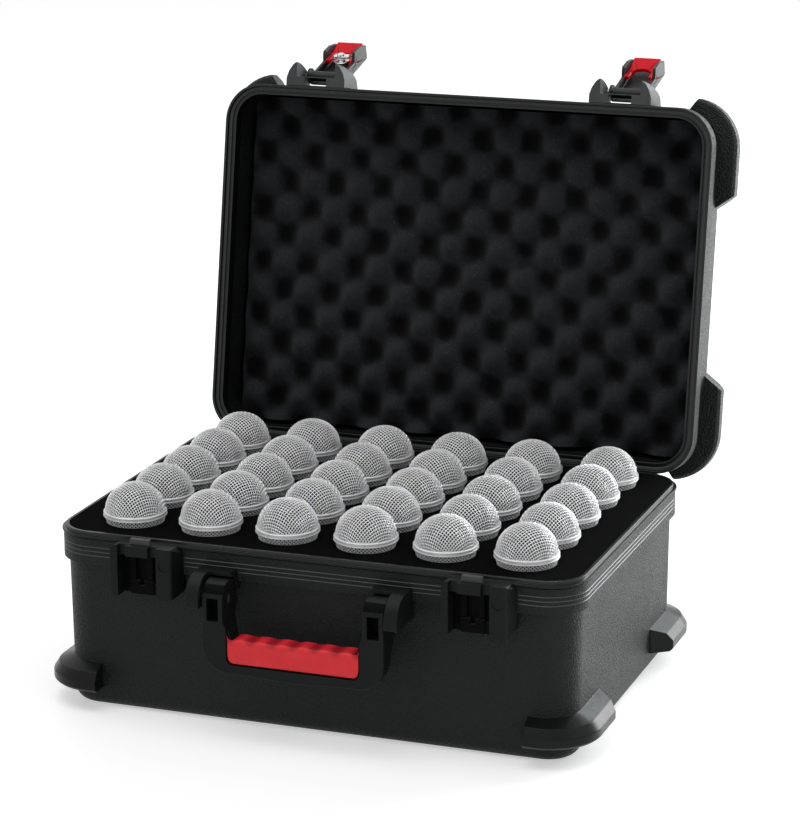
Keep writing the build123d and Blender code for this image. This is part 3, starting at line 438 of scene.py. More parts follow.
def piece(name, form, node, finishes, smooth=35.0):
    """An object from the mesh in hand, which stands for the node and moves with its body."""
    mesh = bpy.data.meshes.new(name)
    form.to_mesh(mesh)
    form.free()
    if smooth is not None:
        mesh.shade_smooth()
        mesh.set_sharp_from_angle(angle=math.radians(smooth))
    for finish in finishes:
        mesh.materials.append(finish)
    made = bpy.data.objects.new(name, mesh)
    bpy.context.scene.collection.objects.link(made)
    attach(made, NODE_BODY[node])
    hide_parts(node)
    return made


def softened(made, width, segments=2):
    """Rounds the piece's edges and evens the shading beside them."""
    edge = made.modifiers.new("Rounded edges", "BEVEL")
    edge.width = width
    edge.segments = segments
    edge.limit_method = "ANGLE"
    edge.angle_limit = EDGE_ANGLE
    edge.use_clamp_overlap = False
    even = made.modifiers.new("Even shading", "WEIGHTED_NORMAL")
    even.keep_sharp = True
    even.weight = 80
    return made


def dressed(name, node, finish, width):
    """A piece in one finish that is a copy of a CAD node with its edges rounded."""
    return softened(piece(name, copied(node), node, [finish]), width)


def rounded_soft(made, cell, passes):
    """Rounds a soft piece all over: its skin is remade in small cells and smoothed."""
    skin = made.modifiers.new("Soft skin", "REMESH")
    skin.mode = "VOXEL"
    skin.voxel_size = cell
    skin.use_smooth_shade = True
    soft = made.modifiers.new("Soft edges", "SMOOTH")
    soft.factor = 0.5
    soft.iterations = passes


def paint(form, index, wanted):
    """Gives finish number index to the faces whose middle and normal are wanted."""
    for face in form.faces:
        if wanted(face.calc_center_median(), face.normal):
            face.material_index = index


def spun(profile, steps):
    """A profile of (radius, height) pairs spun all the way round the upright axis."""
    form = bmesh.new()
    points = [form.verts.new((radius, 0.0, height)) for radius, height in profile]
    edges = [form.edges.new(pair) for pair in zip(points, points[1:])]
    bmesh.ops.spin(
        form, geom=points + edges, cent=ORIGIN, axis=UPWARDS, angle=2 * math.pi, steps=steps, use_merge=True
    )
    bmesh.ops.remove_doubles(form, verts=form.verts, dist=SEAM_POINT)
    bmesh.ops.recalc_face_normals(form, faces=form.faces)
    mesh = bpy.data.meshes.new("Turned form")
    form.to_mesh(mesh)
    form.free()
    return mesh


def wires(paths, radius):
    """The mesh of thin wires along the paths, each a list of points."""
    curve = bpy.data.curves.new("Wire paths", "CURVE")
    curve.dimensions = "3D"
    curve.bevel_depth = radius
    curve.bevel_resolution = 0
    for path in paths:
        spline = curve.splines.new("POLY")
        spline.points.add(len(path) - 1)
        for point, place in zip(spline.points, path):
            point.co = (*place, 1.0)
    holder = bpy.data.objects.new("Wire paths", curve)
    mesh = bpy.data.meshes.new_from_object(holder)
    bpy.data.objects.remove(holder)
    return mesh


# What a user would change


def a_colour(name, description, value):
    """A colour in the panel."""
    return FloatVectorProperty(name=name, description=description, subtype="COLOR", default=value)


def a_length(name, description, value, least=0.0):
    """A length in the panel."""
    return FloatProperty(name=name, description=description, default=value, min=least, unit="LENGTH")


def an_angle(name, description, value):
    """An angle in the panel."""
    return FloatProperty(name=name, description=description, default=value, subtype="ANGLE")


def a_level(name, description, value, unit="NONE"):
    """A share, strength, power or focal length in the panel."""
    return FloatProperty(name=name, description=description, default=value, min=0.0, unit=unit)


class CaseFinishes(bpy.types.PropertyGroup):
    """Colours of the case's materials."""

    shell_colour: a_colour("Shell", "Colour of the moulded shells", (0.0062, 0.0066, 0.0067))
    bumper_colour: a_colour("Guards", "Colour of the smooth corner guards", (0.0062, 0.0066, 0.0067))
    # The rim's smooth tongue and land: real smooth plastic, in a black a little lighter than the shell's that
    # is painted light
    rim_and_light_colour: a_colour("Rim", "Colour of the rim's smooth tongue and land", (0.010, 0.011, 0.011))
    # The lid's inner walls: a darker black that is painted shade
    lid_inner_shade_colour: a_colour("Lid inside", "Colour of the lid's inner walls", (0.0025, 0.0026, 0.0027))
    # The grooves' pale colour is painted highlight, standing in for light on their edges
    groove_highlight_colour: a_colour("Grooves", "Colour of the collar's fine grooves", (0.055, 0.0575, 0.0575))
    latch_colour: a_colour("Latches", "Colour of the latch levers", (0.012, 0.0125, 0.013))
    housing_colour: a_colour("Housings", "Colour of the catches, handle and hinges", (0.006, 0.0064, 0.0066))
    bracket_colour: a_colour("Brackets", "Colour of the latch brackets on the lid", (0.045, 0.047, 0.048))
    # The tabs' own pale colour, which also paints a highlight on the housings' ledges
    tab_and_ledge_highlight_colour: a_colour("Locating tabs", "Colour of the pale tabs in the housings", (0.06, 0.062, 0.062))
    red_colour: a_colour("Red plastic", "Colour of the latch releases", (0.72, 0.0005, 0.012))
    grip_colour: a_colour("Grip", "Colour of the rubber grip", (0.86, 0.026, 0.036))
    base_foam_colour: a_colour("Base foam", "Colour of the foam in the base", (0.0018, 0.0018, 0.002))
    lid_foam_colour: a_colour("Lid foam", "Colour of the foam in the lid", (0.018, 0.019, 0.0215))
    gasket_colour: a_colour("Gasket", "Colour of the seal in the lid's rim", (0.05, 0.052, 0.052))
    wire_colour: a_colour("Grille wire", "Colour of the microphones' wire cloth", (0.95, 0.95, 0.96))
    band_colour: a_colour("Grille band", "Colour of the band round each grille", (0.74, 0.74, 0.75))
    body_colour: a_colour("Microphone body", "Colour of the microphones' handles", (0.09, 0.09, 0.095))


class CaseSizes(bpy.types.PropertyGroup):
    """Sizes of the details."""

    edge_width: a_length("Edge rounding", "Rounding of moulded edges", 0.0006)
    shell_edge: a_length("Shell edge rounding", "Rounding of the shells' edges", 0.00035)
    grip_cell: a_length("Grip cell", "Size of the cells in the grip's skin", 0.0011, least=0.0005)
    guard_round: a_length("Guard rounding", "Rounding of the corner guards' edges", 0.003)
    guard_fall: a_level("Guard fall", "How steeply the base guards' tops fall outwards", 0.45)
    foam_rim: a_length("Foam rim", "Rounding of the foam's cut edges", 0.0010, least=0.0005)
    wire_pitch: a_length("Wire pitch", "Distance between the grille's wires", 0.0025, least=0.001)
    wire_radius: a_length("Wire radius", "Half the thickness of a wire", 0.00038, least=0.0001)
    wire_wave: a_length("Wire wave", "How far a wire rises and falls in the weave", 0.00028)
    grille_turn: an_angle("Grille turn", "Step between the ways the grilles are turned", 0.09)
    grille_steps: IntProperty(
        name="Grille steps", description="Faces round each band", default=48, min=16, max=96
    )


class StudioSettings(bpy.types.PropertyGroup):
    """The camera, lamps and floor."""

    azimuth: an_angle("Azimuth", "Camera's turn from the front", math.radians(20.13))
    elevation: an_angle("Elevation", "Camera's height angle", math.radians(15.58))
    roll: an_angle("Roll", "Camera's tilt", math.radians(-0.30))
    distance: a_length("Distance", "Camera's distance", 2.7941)
    target: FloatVectorProperty(
        name="Target",
        description="Point at the picture's middle",
        default=(-0.0685, 0.2462, 0.1513),
        subtype="TRANSLATION",
    )
    lens: a_level("Lens", "Focal length", 137.1, "CAMERA")
    world_level: a_level("World", "Level of the even light", 0.4)
    key_power: a_level("Key", "Power of the right softbox", 6.0, "POWER")
    rear_power: a_level("Rear", "Power of the rear softbox", 36.0, "POWER")
    low_power: a_level("Low", "Power of the low rear softbox", 22.0, "POWER")
    sweep_power: a_level("Sweep", "Power of the softbox over the rear floor", 30.0, "POWER")
    top_power: a_level("Top", "Power of the top softbox", 30.0, "POWER")
    floor_glow: a_level("Floor glow", "Brightness added to the floor", 0.455)


def settings(context):
    """The scene's three groups of properties."""
    return context.scene.case_finishes, context.scene.case_sizes, context.scene.case_studio


# The pieces


def on_base_guard(middle, _):
    low, high = BASE_GUARD_HEIGHTS
    return low < middle.z < high and outside(middle.x, middle.y, TUB_INSET) > BASE_GUARD_OUT


def on_lid_guard(middle, _):
    local = LID_BACK @ middle
    return local.z > LID_GUARD_HEIGHT and outside(local.x, local.y, LID_WALL_INSET) > LID_GUARD_OUT


def on_lid_land(middle, normal):
    return (LID_BACK @ middle).z < LID_LAND and (LID_BACK.to_3x3() @ normal).z < -0.5


def in_collar_groove(middle, _):
    low, high = (RIM_HEIGHT - drop for drop in GROOVES)
    return low < middle.z < high and outside(middle.x, middle.y, GROOVE_INSET) < GROOVE_FLOOR


def on_lid_inner_shade(middle, normal):
    local = LID_BACK @ middle
    inside = local.z > INNER_SHADE_START and outside(local.x, local.y, TUB_INSET) < -INNER_SHADE_INSIDE
    return inside and (LID_BACK.to_3x3() @ normal).z < 0.3


def rounded_guards(form, on_guard, width):
    """Rounds the guards' outer edges more than the rest of the shell's."""
    edges = [
        edge
        for edge in form.edges
        if len(edge.link_faces) == 2
        and all(face.material_index == 1 for face in edge.link_faces)
        and GUARD_ANGLE < edge.calc_face_angle_signed(0.0)
        and on_guard((edge.verts[0].co + edge.verts[1].co) / 2, None)
    ]
    bmesh.ops.bevel(
        form,
        geom=edges,
        affect="EDGES",
        offset=width,
        segments=3,
        profile=0.5,
        material=-1,
        clamp_overlap=True,
    )


class CASE_OT_base_shell(bpy.types.Operator):
    """Moulded base: pebble-grained tub, smooth corner guards, a smooth tongue round the rim in a lighter
    black that is painted light, and pale painted highlight in the collar's grooves
    """

    bl_idname = "case.base_shell"
    bl_label = "Base shell"

    def execute(self, context):
        colours, sizes, _ = settings(context)
        form = copied("base_shell")
        paint(form, 1, on_base_guard)
        # The rim's top faces: smooth plastic whose lighter black is painted light
        paint(form, 2, lambda middle, _: middle.z > RIM_HEIGHT - HAIR)
        # Painted highlight: the collar's grooves take a pale colour
        paint(form, 3, in_collar_groove)
        under, over = GUARD_TOP_REACH
        for vert in form.verts:
            out = outside(vert.co.x, vert.co.y, TUB_INSET)
            if GUARD_TOP - under < vert.co.z < GUARD_TOP + over and out > 0.0:
                vert.co.z -= sizes.guard_fall * out
        look = {"grain": 0.0014, "depth": 0.00055, "roughness": 0.36, "specular": 0.2}
        finishes = [
            grained_plastic("Grained shell", colours.shell_colour, **look),
            smooth_plastic("Smooth guards", colours.bumper_colour, roughness=0.28, specular=0.14),
            smooth_plastic("Rim plastic", colours.rim_and_light_colour, roughness=0.3, specular=0.3),
            smooth_plastic("Worn groove", colours.groove_highlight_colour, roughness=0.35),
        ]
        rounded_guards(form, on_base_guard, sizes.guard_round)
        softened(piece("base_moulding", form, "base_shell", finishes), sizes.shell_edge)
        return {"FINISHED"}


class CASE_OT_lid_shell(bpy.types.Operator):
    """Moulded lid: grained shell and corner guards, a smooth land round the rim in a lighter black that is
    painted light, and inner walls darkened as painted shade
    """

    bl_idname = "case.lid_shell"
    bl_label = "Lid shell"

    def execute(self, context):
        colours, sizes, _ = settings(context)
        form = copied("lid_shell")
        paint(form, 1, on_lid_guard)
        # The lid's land: the same smooth plastic, whose lighter black is painted light
        paint(form, 2, on_lid_land)
        rounded_guards(form, on_lid_guard, sizes.guard_round)
        # Painted shade: the lid's inner walls are painted darker than the shell
        paint(form, 3, on_lid_inner_shade)
        look = {"grain": 0.0015, "depth": 0.0008, "roughness": 0.28, "specular": 0.24}
        finishes = [
            bpy.data.materials["Grained shell"],
            grained_plastic("Grained guards", colours.bumper_colour, **look),
            bpy.data.materials["Rim plastic"],
            smooth_plastic("Lid lining", colours.lid_inner_shade_colour, roughness=0.5, specular=0.06),
        ]
        softened(piece("lid_moulding", form, "lid_shell", finishes), sizes.shell_edge)
        return {"FINISHED"}


class CASE_OT_base_foam(bpy.types.Operator):
    """Foam in the base: a layer with a well for each microphone, the block under it and the floor pad"""

    bl_idname = "case.base_foam"
    bl_label = "Base foam"

    def execute(self, context):
        colours, sizes, _ = settings(context)
        look = {"cell": 0.0009, "depth": 0.0005, "sheen": 0.004, "specular": 0.015}
        foam = cut_foam("Base foam", colours.base_foam_colour, **look)
        low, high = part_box("foam_upper")
        rim = sizes.foam_rim
        top = high.z
        well = BASKET_RADIUS - WELL_TIGHT
        form = bmesh.new()
        wells = []
        for row in range(MIC_ROWS):
            for column in range(MIC_COLUMNS):
                centre = Vector(mic_centre(row, column))
                place = Matrix.Translation((centre.x, centre.y, top))
                ring = bmesh.ops.create_circle(
                    form, cap_ends=False, radius=well + 2 * rim, segments=WELL_SIDES, matrix=place
                )
                wells.append((centre, ring["verts"]))
        outline = rounded_outline(form, high.x - 2 * rim, high.y - 2 * rim, FOAM_CORNER, top)
        bmesh.ops.triangle_fill(form, use_beauty=True, edges=form.edges, normal=UPWARDS)
        quarter = [step * math.pi / (2 * ROUND_STEPS) for step in range(ROUND_STEPS + 1)]
        for centre, ring in wells:
            loop = loop_edges(ring)
            for turn in quarter:
                grown = rim * (1.0 - math.sin(turn))
                loop = extended(form, loop, centre, well + grown, top - rim * (1.0 - math.cos(turn)))
            extended(form, loop, centre, well, low.z)
        loop = sunk(form, loop_edges(outline), rim, top)
        for before, turn in zip(quarter, quarter[1:]):
            growth = rim * (math.sin(turn) - math.sin(before))
            loop = sunk(form, loop, growth, top - rim * (1.0 - math.cos(turn)))
        sunk(form, loop, 0.0, low.z)
        bmesh.ops.recalc_face_normals(form, faces=form.faces)
        piece("foam_wells", form, "foam_upper", [foam], smooth=50.0)
        for node, name in (("foam_lower", "foam_block"), ("base_pad", "foam_floor")):
            dressed(name, node, foam, BLOCK_EDGE)
        return {"FINISHED"}


def mic_centre(row, column):
    """Where a microphone's axis meets the floor."""
    x = (column - (MIC_COLUMNS - 1) / 2) * MIC_PITCH.x
    y = (row - (MIC_ROWS - 1) / 2) * MIC_PITCH.y + MIC_GRID_Y
    return x, y, 0.0


def rounded_outline(form, half_x, half_y, radius, height):
    """A rounded rectangle's vertices at a height, made from a plane with bevelled corners."""
    start = set(form.verts)
    plane = bmesh.ops.create_grid(form, x_segments=1, y_segments=1, size=1.0)
    bmesh.ops.scale(form, vec=(half_x, half_y, 1.0), verts=plane["verts"])
    bmesh.ops.translate(form, vec=(0.0, 0.0, height), verts=plane["verts"])
    bmesh.ops.bevel(
        form, geom=plane["verts"], affect="VERTICES", offset=radius, segments=10, profile=0.5, material=-1
    )
    made = [vert for vert in form.verts if vert not in start]
    bmesh.ops.delete(form, geom=[face for vert in made for face in vert.link_faces][:1], context="FACES_ONLY")
    return made


def loop_edges(verts):
    """The edges on the loop that the vertices make."""
    own = set(verts)
    return list({edge for vert in verts for edge in vert.link_edges if own.issuperset(edge.verts)})


def pulled(form, loop):
    """The vertices and the edges of a new loop that is extruded from the given one."""
    moved = bmesh.ops.extrude_edge_only(form, edges=loop)["geom"]
    verts = [item for item in moved if isinstance(item, bmesh.types.BMVert)]
    return verts, [item for item in moved if isinstance(item, bmesh.types.BMEdge)]


def extended(form, loop, centre, radius, height):
    """Pulls a round loop of edges out to a new radius and height."""
    verts, edges = pulled(form, loop)
    for vert in verts:
        spoke = (vert.co.xy - centre.xy).normalized() * radius
        vert.co = (centre.x + spoke.x, centre.y + spoke.y, height)
    return edges


def sunk(form, loop, growth, height):
    """Pulls the outer loop of edges out by growth, or straight where it is 0, and to a height."""
    verts, edges = pulled(form, loop)
    for vert in verts:
        vert.co.x += math.copysign(growth, vert.co.x)
        vert.co.y += math.copysign(growth, vert.co.y)
        vert.co.z = height
    return edges


class CASE_OT_lid_foam(bpy.types.Operator):
    """Foam in the lid, cut into rows of soft peaks and hollows, with painted shade in the hollows"""

    bl_idname = "case.lid_foam"
    bl_label = "Lid foam"

    def execute(self, context):
        colours, _, _ = settings(context)
        look = {"cell": 0.0010, "depth": 0.0006, "sheen": 0.08, "specular": 0.08}
        foam = cut_foam("Lid foam", colours.lid_foam_colour, **look, hollows="depth")
        half_x, half_y = FOAM_HALF
        form = bmesh.new()
        bmesh.ops.create_grid(form, x_segments=FOAM_CELLS[0], y_segments=FOAM_CELLS[1], size=1.0)
        depth = form.verts.layers.float.new("depth")
        for vert in form.verts:
            x, y = vert.co.x * half_x, vert.co.y * half_y
            along = math.cos(math.pi * (x - FOAM_FIRST[0]) / FOAM_PITCH[0])
            height = 0.5 + 0.5 * along * math.cos(math.pi * (FOAM_FIRST[1] - y) / FOAM_PITCH[1])
            vert.co = (x, y, FOAM_VALLEY + (FOAM_PEAK - FOAM_VALLEY) * height**FOAM_POINT)
            # How deep below the peaks a point lies, which the foam's painted shade follows
            vert[depth] = 1.0 - height
        loop = sunk(form, [edge for edge in form.edges if edge.is_boundary], 0.0, FOAM_VALLEY)
        loop = sunk(form, loop, 0.0, FOAM_BACK)
        back_verts = list({vert for edge in loop for vert in edge.verts})
        taper = (1.0 - FOAM_TAPER / half_x, 1.0 - FOAM_TAPER / half_y, 1.0)
        bmesh.ops.scale(form, vec=taper, verts=back_verts)
        bmesh.ops.contextual_create(form, geom=loop)
        bmesh.ops.recalc_face_normals(form, faces=form.faces)
        bmesh.ops.transform(form, matrix=LID, verts=form.verts)
        piece("foam_peaks", form, "lid_foam", [foam], smooth=60.0)
        return {"FINISHED"}


class CASE_OT_gasket(bpy.types.Operator):
    """Seal in the lid's rim groove"""

    bl_idname = "case.gasket"
    bl_label = "Gasket"

    def execute(self, context):
        colours, _, _ = settings(context)
        finish = rubber("Gasket sponge", colours.gasket_colour, roughness=0.8)
        dressed("rim_seal", "lid_gasket", finish, SEAL_EDGE)
        return {"FINISHED"}


class CASE_OT_latches(bpy.types.Operator):
    """Latch brackets, levers, releases, pins and the key lock"""

    bl_idname = "case.latches"
    bl_label = "Latches"

    def execute(self, context):
        colours, sizes, _ = settings(context)
        look = {**FITTING_GRAIN, "specular": 0.3}
        lever = grained_plastic("Lever plastic", colours.latch_colour, roughness=0.34, **look)
        bracket = grained_plastic("Bracket plastic", colours.bracket_colour, roughness=0.38, **look)
        red = smooth_plastic("Release plastic", colours.red_colour, roughness=0.28, specular=0.12)
        steel = plain_metal("Pin steel", STEEL, roughness=0.32)
        chrome = plain_metal("Lock metal", CHROME, roughness=0.22, brush=UNBRUSHED)
        for side in ("left", "right"):
            groups = (
                (f"bracket_{side}", f"latch_bracket_{side}", bracket, "fittings"),
                (f"lever_{side}", f"latch_lever_{side}", lever, "fittings"),
                (f"release_tab_{side}", f"release_{side}", red, "release_red"),
                (f"lever_pin_{side}", f"latch_pin_{side}", steel, "steel"),
            )
            for name, node, finish, slot in groups:
                dressed(name, node, finish, sizes.edge_width)
        dressed("key_lock", "lock_cylinder", chrome, FINE_EDGE)
        return {"FINISHED"}


def in_recess(depth, centre, half_width, top, way, least=0.5):
    """Picks the faces behind a depth and below a height that look the given way."""

    def wanted(middle, normal):
        behind = middle.y > depth and abs(middle.x - centre) < half_width and middle.z < top
        return behind and normal.dot(way) > least

    return wanted


class CASE_OT_catches(bpy.types.Operator):
    """Slotted catch housings on the base"""

    bl_idname = "case.catches"
    bl_label = "Catch housings"

    def execute(self, context):
        colours, sizes, _ = settings(context)
        look = {**FITTING_GRAIN, "roughness": 0.3, "specular": 0.13}
        finish = grained_plastic("Housing plastic", colours.housing_colour, **look)
        tab = smooth_plastic("Locating tab plastic", colours.tab_and_ledge_highlight_colour, roughness=0.4, specular=0.3)
        dark = smooth_plastic("Recess plastic", RECESS_SHADE, roughness=0.6, specular=0.05)
        wall_depth, ledge_depth = RECESS_DEPTHS
        wall_top, ledge_top = (RIM_HEIGHT - drop for drop in RECESS_TOPS)
        for side in ("left", "right"):
            node = f"catch_housing_{side}"
            form = copied(node)
            low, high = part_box(node)
            centre = (low.x + high.x) / 2
            # Painted shade: the walls deep in each housing's mouth are painted near black
            paint(form, 2, in_recess(low.y + wall_depth, centre, RECESS_HALF, wall_top, FORWARDS))
            paint(form, 1, lambda middle, _: middle.z > RIM_HEIGHT + HAIR)
            # Painted highlight: the upward faces of the ledges in each mouth take the pale tab colour,
            # standing in for light from above
            ledges = in_recess(low.y + ledge_depth, centre, RECESS_HALF, ledge_top, UPWARDS, least=0.7)
            paint(form, 1, ledges)
            made = piece(f"catch_{side}", form, node, [finish, tab, dark])
            softened(made, sizes.edge_width)
            made.modifiers["Rounded edges"].use_clamp_overlap = True
        return {"FINISHED"}


class CASE_OT_handle(bpy.types.Operator):
    """Carrying handle: brackets, folding frame, red grip and pins"""

    bl_idname = "case.handle"
    bl_label = "Handle"

    def execute(self, context):
        colours, sizes, _ = settings(context)
        finish = bpy.data.materials["Housing plastic"]
        steel = bpy.data.materials["Pin steel"]
        dark = bpy.data.materials["Recess plastic"]
        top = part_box("handle_grip")[1].z
        # The grip's top gets painted shade in its finger hollows
        grip = rubber("Grip rubber", colours.grip_colour, roughness=0.5, shade_above=top - GRIP_SHADE_DROP)
        groups = (
            ("handle_hood_left", "handle_bracket_left", finish, "fittings"),
            ("handle_hood_right", "handle_bracket_right", finish, "fittings"),
            ("handle_bow", "handle_frame", finish, "fittings"),
            ("handle_axle_left", "handle_pin_left", steel, "steel"),
            ("handle_axle_right", "handle_pin_right", steel, "steel"),
        )
        for name, node, chosen, slot in groups:
            form = copied(node)
            if node == "handle_frame":
                # Painted shade: the floors of the frame's recesses are painted near black
                paint(form, 1, in_recess(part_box(node)[0].y + HANDLE_RECESS, 0.0, 1.0, 1.0, FORWARDS))
            softened(piece(name, form, node, [chosen, dark]), sizes.edge_width, segments=3)
        form = copied("handle_grip")
        skin = piece("handle_grip_skin", form, "handle_grip", [grip], smooth=None)
        rounded_soft(skin, sizes.grip_cell, GRIP_PASSES)
        return {"FINISHED"}


class CASE_OT_hinges(bpy.types.Operator):
    """Two knuckle hinges at the back"""

    bl_idname = "case.hinges"
    bl_label = "Hinges"

    def execute(self, context):
        finish = bpy.data.materials["Housing plastic"]
        steel = bpy.data.materials["Pin steel"]
        for side in ("left", "right"):
            for part in ("base", "lid"):
                dressed(f"{part}_leaf_{side}", f"hinge_{part}_leaf_{side}", finish, FINE_EDGE)
            dressed(f"hinge_rod_{side}", f"hinge_pin_{side}", steel, ROD_EDGE)
        return {"FINISHED"}


class CASE_OT_microphones(bpy.types.Operator):
    """Thirty hand microphones: woven ball grille, double band, tapered basket and handle"""

    bl_idname = "case.microphones"
    bl_label = "Microphones"

    def execute(self, context):
        colours, sizes, _ = settings(context)
        finishes = [
            plain_metal("Grille wire", colours.wire_colour, 0.36, brush=UNBRUSHED, metallic=0.45),
            cut_foam("Grille liner", LINER_BLACK, 0.0006, 0.0002, sheen=0.0, specular=0.02),
            plain_metal("Grille band", colours.band_colour, 0.5, brush=UNBRUSHED, metallic=0.6),
            smooth_plastic("Microphone enamel", colours.body_colour, roughness=0.35),
        ]
        pattern = microphone(sizes)
        for row in range(MIC_ROWS):
            for column in range(MIC_COLUMNS):
                turn = MIC_TURN + sizes.grille_turn * ((row * 3 + column * 2) % 5 - 2)
                form = bmesh.new()
                form.from_mesh(pattern)
                place = Matrix.Translation(mic_centre(row, column)) @ Matrix.Rotation(turn, 4, "Z")
                bmesh.ops.transform(form, matrix=place, verts=form.verts)
                well = f"{row + 1}_{column + 1}"
                piece(f"microphone_{well}", form, f"mic_{well}", finishes, smooth=None)
        bpy.data.meshes.remove(pattern)
        return {"FINISHED"}


def dome_cloth(sizes):
    """The paths of the dome's wires: a flat weave drawn over a flattened ball."""
    pitch = sizes.wire_pitch
    reach = DOME_RADIUS * DOME_REACH
    paths = []
    for strand in range(-int(reach / pitch), int(reach / pitch) + 1):
        beside = strand * pitch
        end = math.sqrt(reach * reach - beside * beside)
        last = int(end / pitch)
        for way in (1, -1):
            stops = [(-end, 0.0)] if end > (last + SHORTEST_STEP) * pitch else []
            for stop in range(-last, last + 1):
                stops.append((stop * pitch, way * (-1) ** (strand + stop) * sizes.wire_wave))
            if len(stops) > 2 * last + 1:
                stops.append((end, 0.0))
            if len(stops) > 1:
                flat = [(beside, along, lift) if way > 0 else (along, beside, lift) for along, lift in stops]
                paths.append([on_dome(x, y, lift) for x, y, lift in flat])
    return paths


def on_dome(x, y, lift):
    """The place on the dome that a point of the flat cloth is drawn to."""
    away = math.hypot(x, y)
    turn = away / DOME_RADIUS
    share = (DOME_RADIUS + lift) * math.sin(turn) / max(away, 1e-9)
    return x * share, y * share, DOME_HEIGHT + (DOME_RISE + lift) * math.cos(turn)


def basket_cloth(sizes):
    """The paths of the basket's wires: two sets that slant down its taper and cross."""
    rounds = int((BASKET_TOP - NECK_HEIGHT) / sizes.wire_pitch)
    count = 2 * round(0.8 * math.pi * BASKET_RADIUS / sizes.wire_pitch)
    fall = (BASKET_TOP - NECK_HEIGHT) / rounds

    def place(step, level, way):
        radius = BASKET_RADIUS + (NECK_RADIUS - BASKET_RADIUS) * level / rounds
        radius += way * (-1) ** (step + level) * sizes.wire_wave - sizes.wire_radius
        turn = 2 * math.pi * (step + level) / count
        return radius * math.cos(turn), radius * math.sin(turn), BASKET_TOP - fall * level

    levels = range(rounds + 1)
    right = [[place(step, level, 1) for level in levels] for step in range(count)]
    left = [[place(step - 2 * level, level, -1) for level in levels] for step in range(count)]
    return right + left


def microphone(sizes):
    """One microphone on the upright axis, its grille on top: the mesh that all thirty are copied from."""
    inner = DOME_RADIUS - sizes.wire_radius * 2
    slack = DOME_RADIUS - inner
    arc = [math.radians(90.0 - 90.0 * step / 10) for step in range(11)]
    liner = [(inner * math.cos(turn), DOME_HEIGHT + (DOME_RISE - slack) * math.sin(turn)) for turn in arc]
    liner.append((BASKET_RADIUS - slack * 1.4, BASKET_TOP))
    liner.append((NECK_RADIUS - slack * 1.4, NECK_HEIGHT))
    band = [(inner, DOME_HEIGHT)]
    root = BAND_RADIUS - BAND_WALL
    for lip, foot, radius in (
        (DOME_HEIGHT, BASKET_TOP + 0.0026, BAND_RADIUS),
        (BASKET_TOP + 0.0014, BASKET_TOP, BAND_RADIUS + 0.0001),
    ):
        band += [(root, lip), (radius - 0.0007, lip - 0.0001), (radius - 0.0001, lip - 0.0005)]
        band += [(radius, foot + 0.0003), (radius - 0.0003, foot), (root, foot)]
    band.append((BASKET_RADIUS - slack, BASKET_TOP))
    neck = ((-0.0025, 0.0012), (-0.0004, 0.0012), (0.0, 0.0006), (0.0, -0.0030), (-0.0012, -0.0042))
    tail = ((0.0006, 0.0050), (0.0, 0.0040), (0.0, 0.0006), (-0.0006, 0.0), (-0.0020, 0.0), (-0.0020, 0.0080))
    body = [(NECK_RADIUS + out, NECK_HEIGHT + up) for out, up in neck]
    body += [(TAIL_RADIUS + out, MIC_TAIL + up) for out, up in tail]
    body.append((0.0, body[-1][1]))
    cloth = wires(dome_cloth(sizes) + basket_cloth(sizes), sizes.wire_radius)
    form = bmesh.new()
    turned = [spun(profile, sizes.grille_steps) for profile in (liner, band, body)]
    for index, mesh in enumerate([cloth, *turned]):
        start = len(form.faces)
        form.from_mesh(mesh)
        form.faces.ensure_lookup_table()
        for face in form.faces[start:]:
            face.material_index = index
            face.smooth = True
        bpy.data.meshes.remove(mesh)
    for edge in form.edges:
        sharp = edge.calc_face_angle(0.0) > math.radians(40.0)
        edge.smooth = not sharp or edge.link_faces[0].material_index == 0
    pattern = bpy.data.meshes.new("Microphone")
    form.to_mesh(pattern)
    form.free()
    return pattern


# The studio


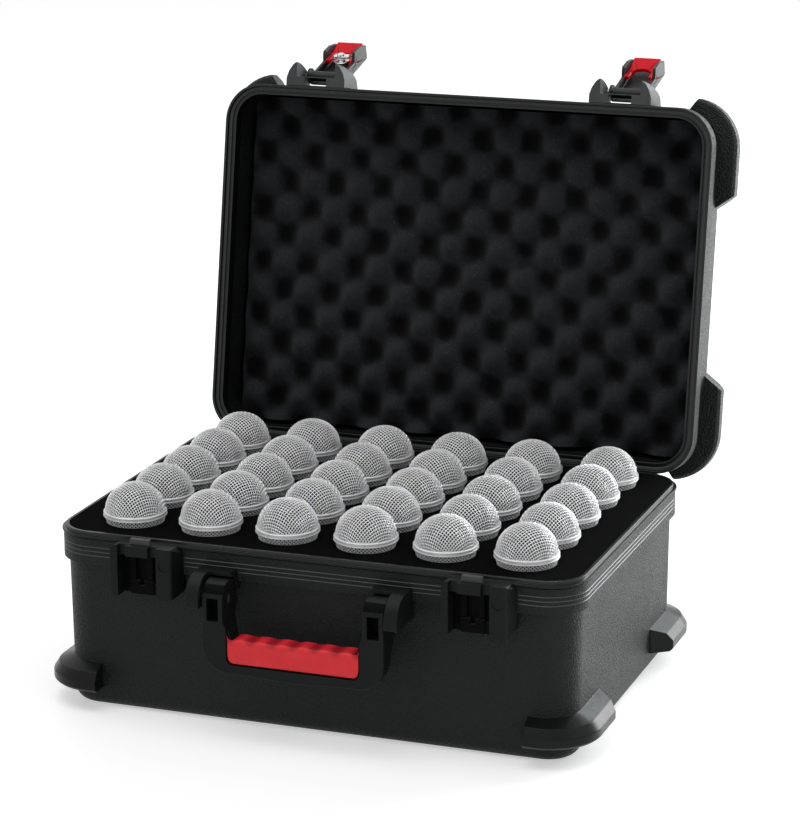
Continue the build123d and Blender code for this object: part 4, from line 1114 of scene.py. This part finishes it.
class CASE_OT_studio(bpy.types.Operator):
    """White floor and surroundings, five softboxes and the camera"""

    bl_idname = "case.studio"
    bl_label = "Studio"

    def execute(self, context):
        _, _, studio = settings(context)
        scene = context.scene
        scene.view_settings.view_transform = "Standard"
        across, along = math.cos(studio.azimuth), math.sin(studio.azimuth)
        flat = math.cos(studio.elevation)
        back = Vector((along * flat, -across * flat, math.sin(studio.elevation)))
        right = Matrix.Rotation(studio.roll, 3, back) @ Vector((across, along, 0.0))
        up = back.cross(right)
        camera = bpy.data.objects.new("Camera", bpy.data.cameras.new("Camera"))
        scene.collection.objects.link(camera)
        place = Matrix((right, up, back)).transposed().to_4x4()
        place.translation = Vector(studio.target) + back * studio.distance
        camera.matrix_world = place
        camera.data.lens = studio.lens
        camera.data.sensor_width = SENSOR
        camera.data.clip_end = 50.0
        scene.camera = camera

        sky = Finish("Studio", "worlds")
        strength = studio.world_level + sky.shown() * (1.0 - studio.world_level)
        scene.world = sky.done(sky.node("ShaderNodeBackground", None, {"Color": WHITE, "Strength": strength}))

        floor = bmesh.new()
        bmesh.ops.create_grid(floor, x_segments=1, y_segments=1, size=FLOOR_HALF)
        mesh = bpy.data.meshes.new("Floor")
        floor.to_mesh(mesh)
        floor.free()
        ground = bpy.data.objects.new("Floor", mesh)
        scene.collection.objects.link(ground)
        finish = Finish("Studio floor")
        base = finish.shader(Base_Color=(0.86, 0.86, 0.86), Roughness=0.45, Specular_IOR_Level=0.25)
        strength = finish.shown() * studio.floor_glow
        glow = finish.node("ShaderNodeEmission", None, {"Color": WHITE, "Strength": strength})
        mesh.materials.append(finish.done(finish.node("ShaderNodeAddShader", None, {0: base, 1: glow})))

        for name, spot, target, size, power, tint in SOFTBOXES:
            softbox(name, Vector(spot), Vector(target), size, getattr(studio, power), tint[:3])
        return {"FINISHED"}


def softbox(name, place, target, size, power, tint):
    """A square softbox that faces the target."""
    light = bpy.data.lights.new(name, "AREA")
    light.size = size
    light.energy = power
    light.color = tint
    made = bpy.data.objects.new(name, light)
    bpy.context.scene.collection.objects.link(made)
    made.location = place
    made.rotation_euler = (target - place).to_track_quat("-Z", "Y").to_euler()


class CASE_PT_panel(bpy.types.Panel):
    """Lists the case's pieces in the order they are made"""

    bl_idname = "CASE_PT_panel"
    bl_label = "Microphone Case"
    bl_space_type = "VIEW_3D"
    bl_region_type = "UI"
    bl_category = "Microphone Case"

    def draw(self, context):
        layout = self.layout
        for group in settings(context):
            box = layout.box()
            for name in group.__annotations__:
                box.prop(group, name)
        for step in STEPS:
            layout.operator(step.bl_idname)


STEPS = (
    CASE_OT_studio,
    CASE_OT_base_shell,
    CASE_OT_lid_shell,
    CASE_OT_base_foam,
    CASE_OT_lid_foam,
    CASE_OT_gasket,
    CASE_OT_latches,
    CASE_OT_catches,
    CASE_OT_handle,
    CASE_OT_hinges,
    CASE_OT_microphones,
)
GROUPS = (("case_finishes", CaseFinishes), ("case_sizes", CaseSizes), ("case_studio", StudioSettings))


def register():
    for _, group in GROUPS:
        bpy.utils.register_class(group)
    for step in (*STEPS, CASE_PT_panel):
        bpy.utils.register_class(step)
    for name, group in GROUPS:
        setattr(bpy.types.Scene, name, PointerProperty(type=group))


def unregister():
    for name, _ in GROUPS:
        delattr(bpy.types.Scene, name)
    for step in reversed((*STEPS, CASE_PT_panel)):
        bpy.utils.unregister_class(step)
    for _, group in reversed(GROUPS):
        bpy.utils.unregister_class(group)


def main():
    register()
    for step in STEPS:
        getattr(bpy.ops.case, step.bl_idname.partition(".")[2])()


if __name__ == "__main__":
    main()
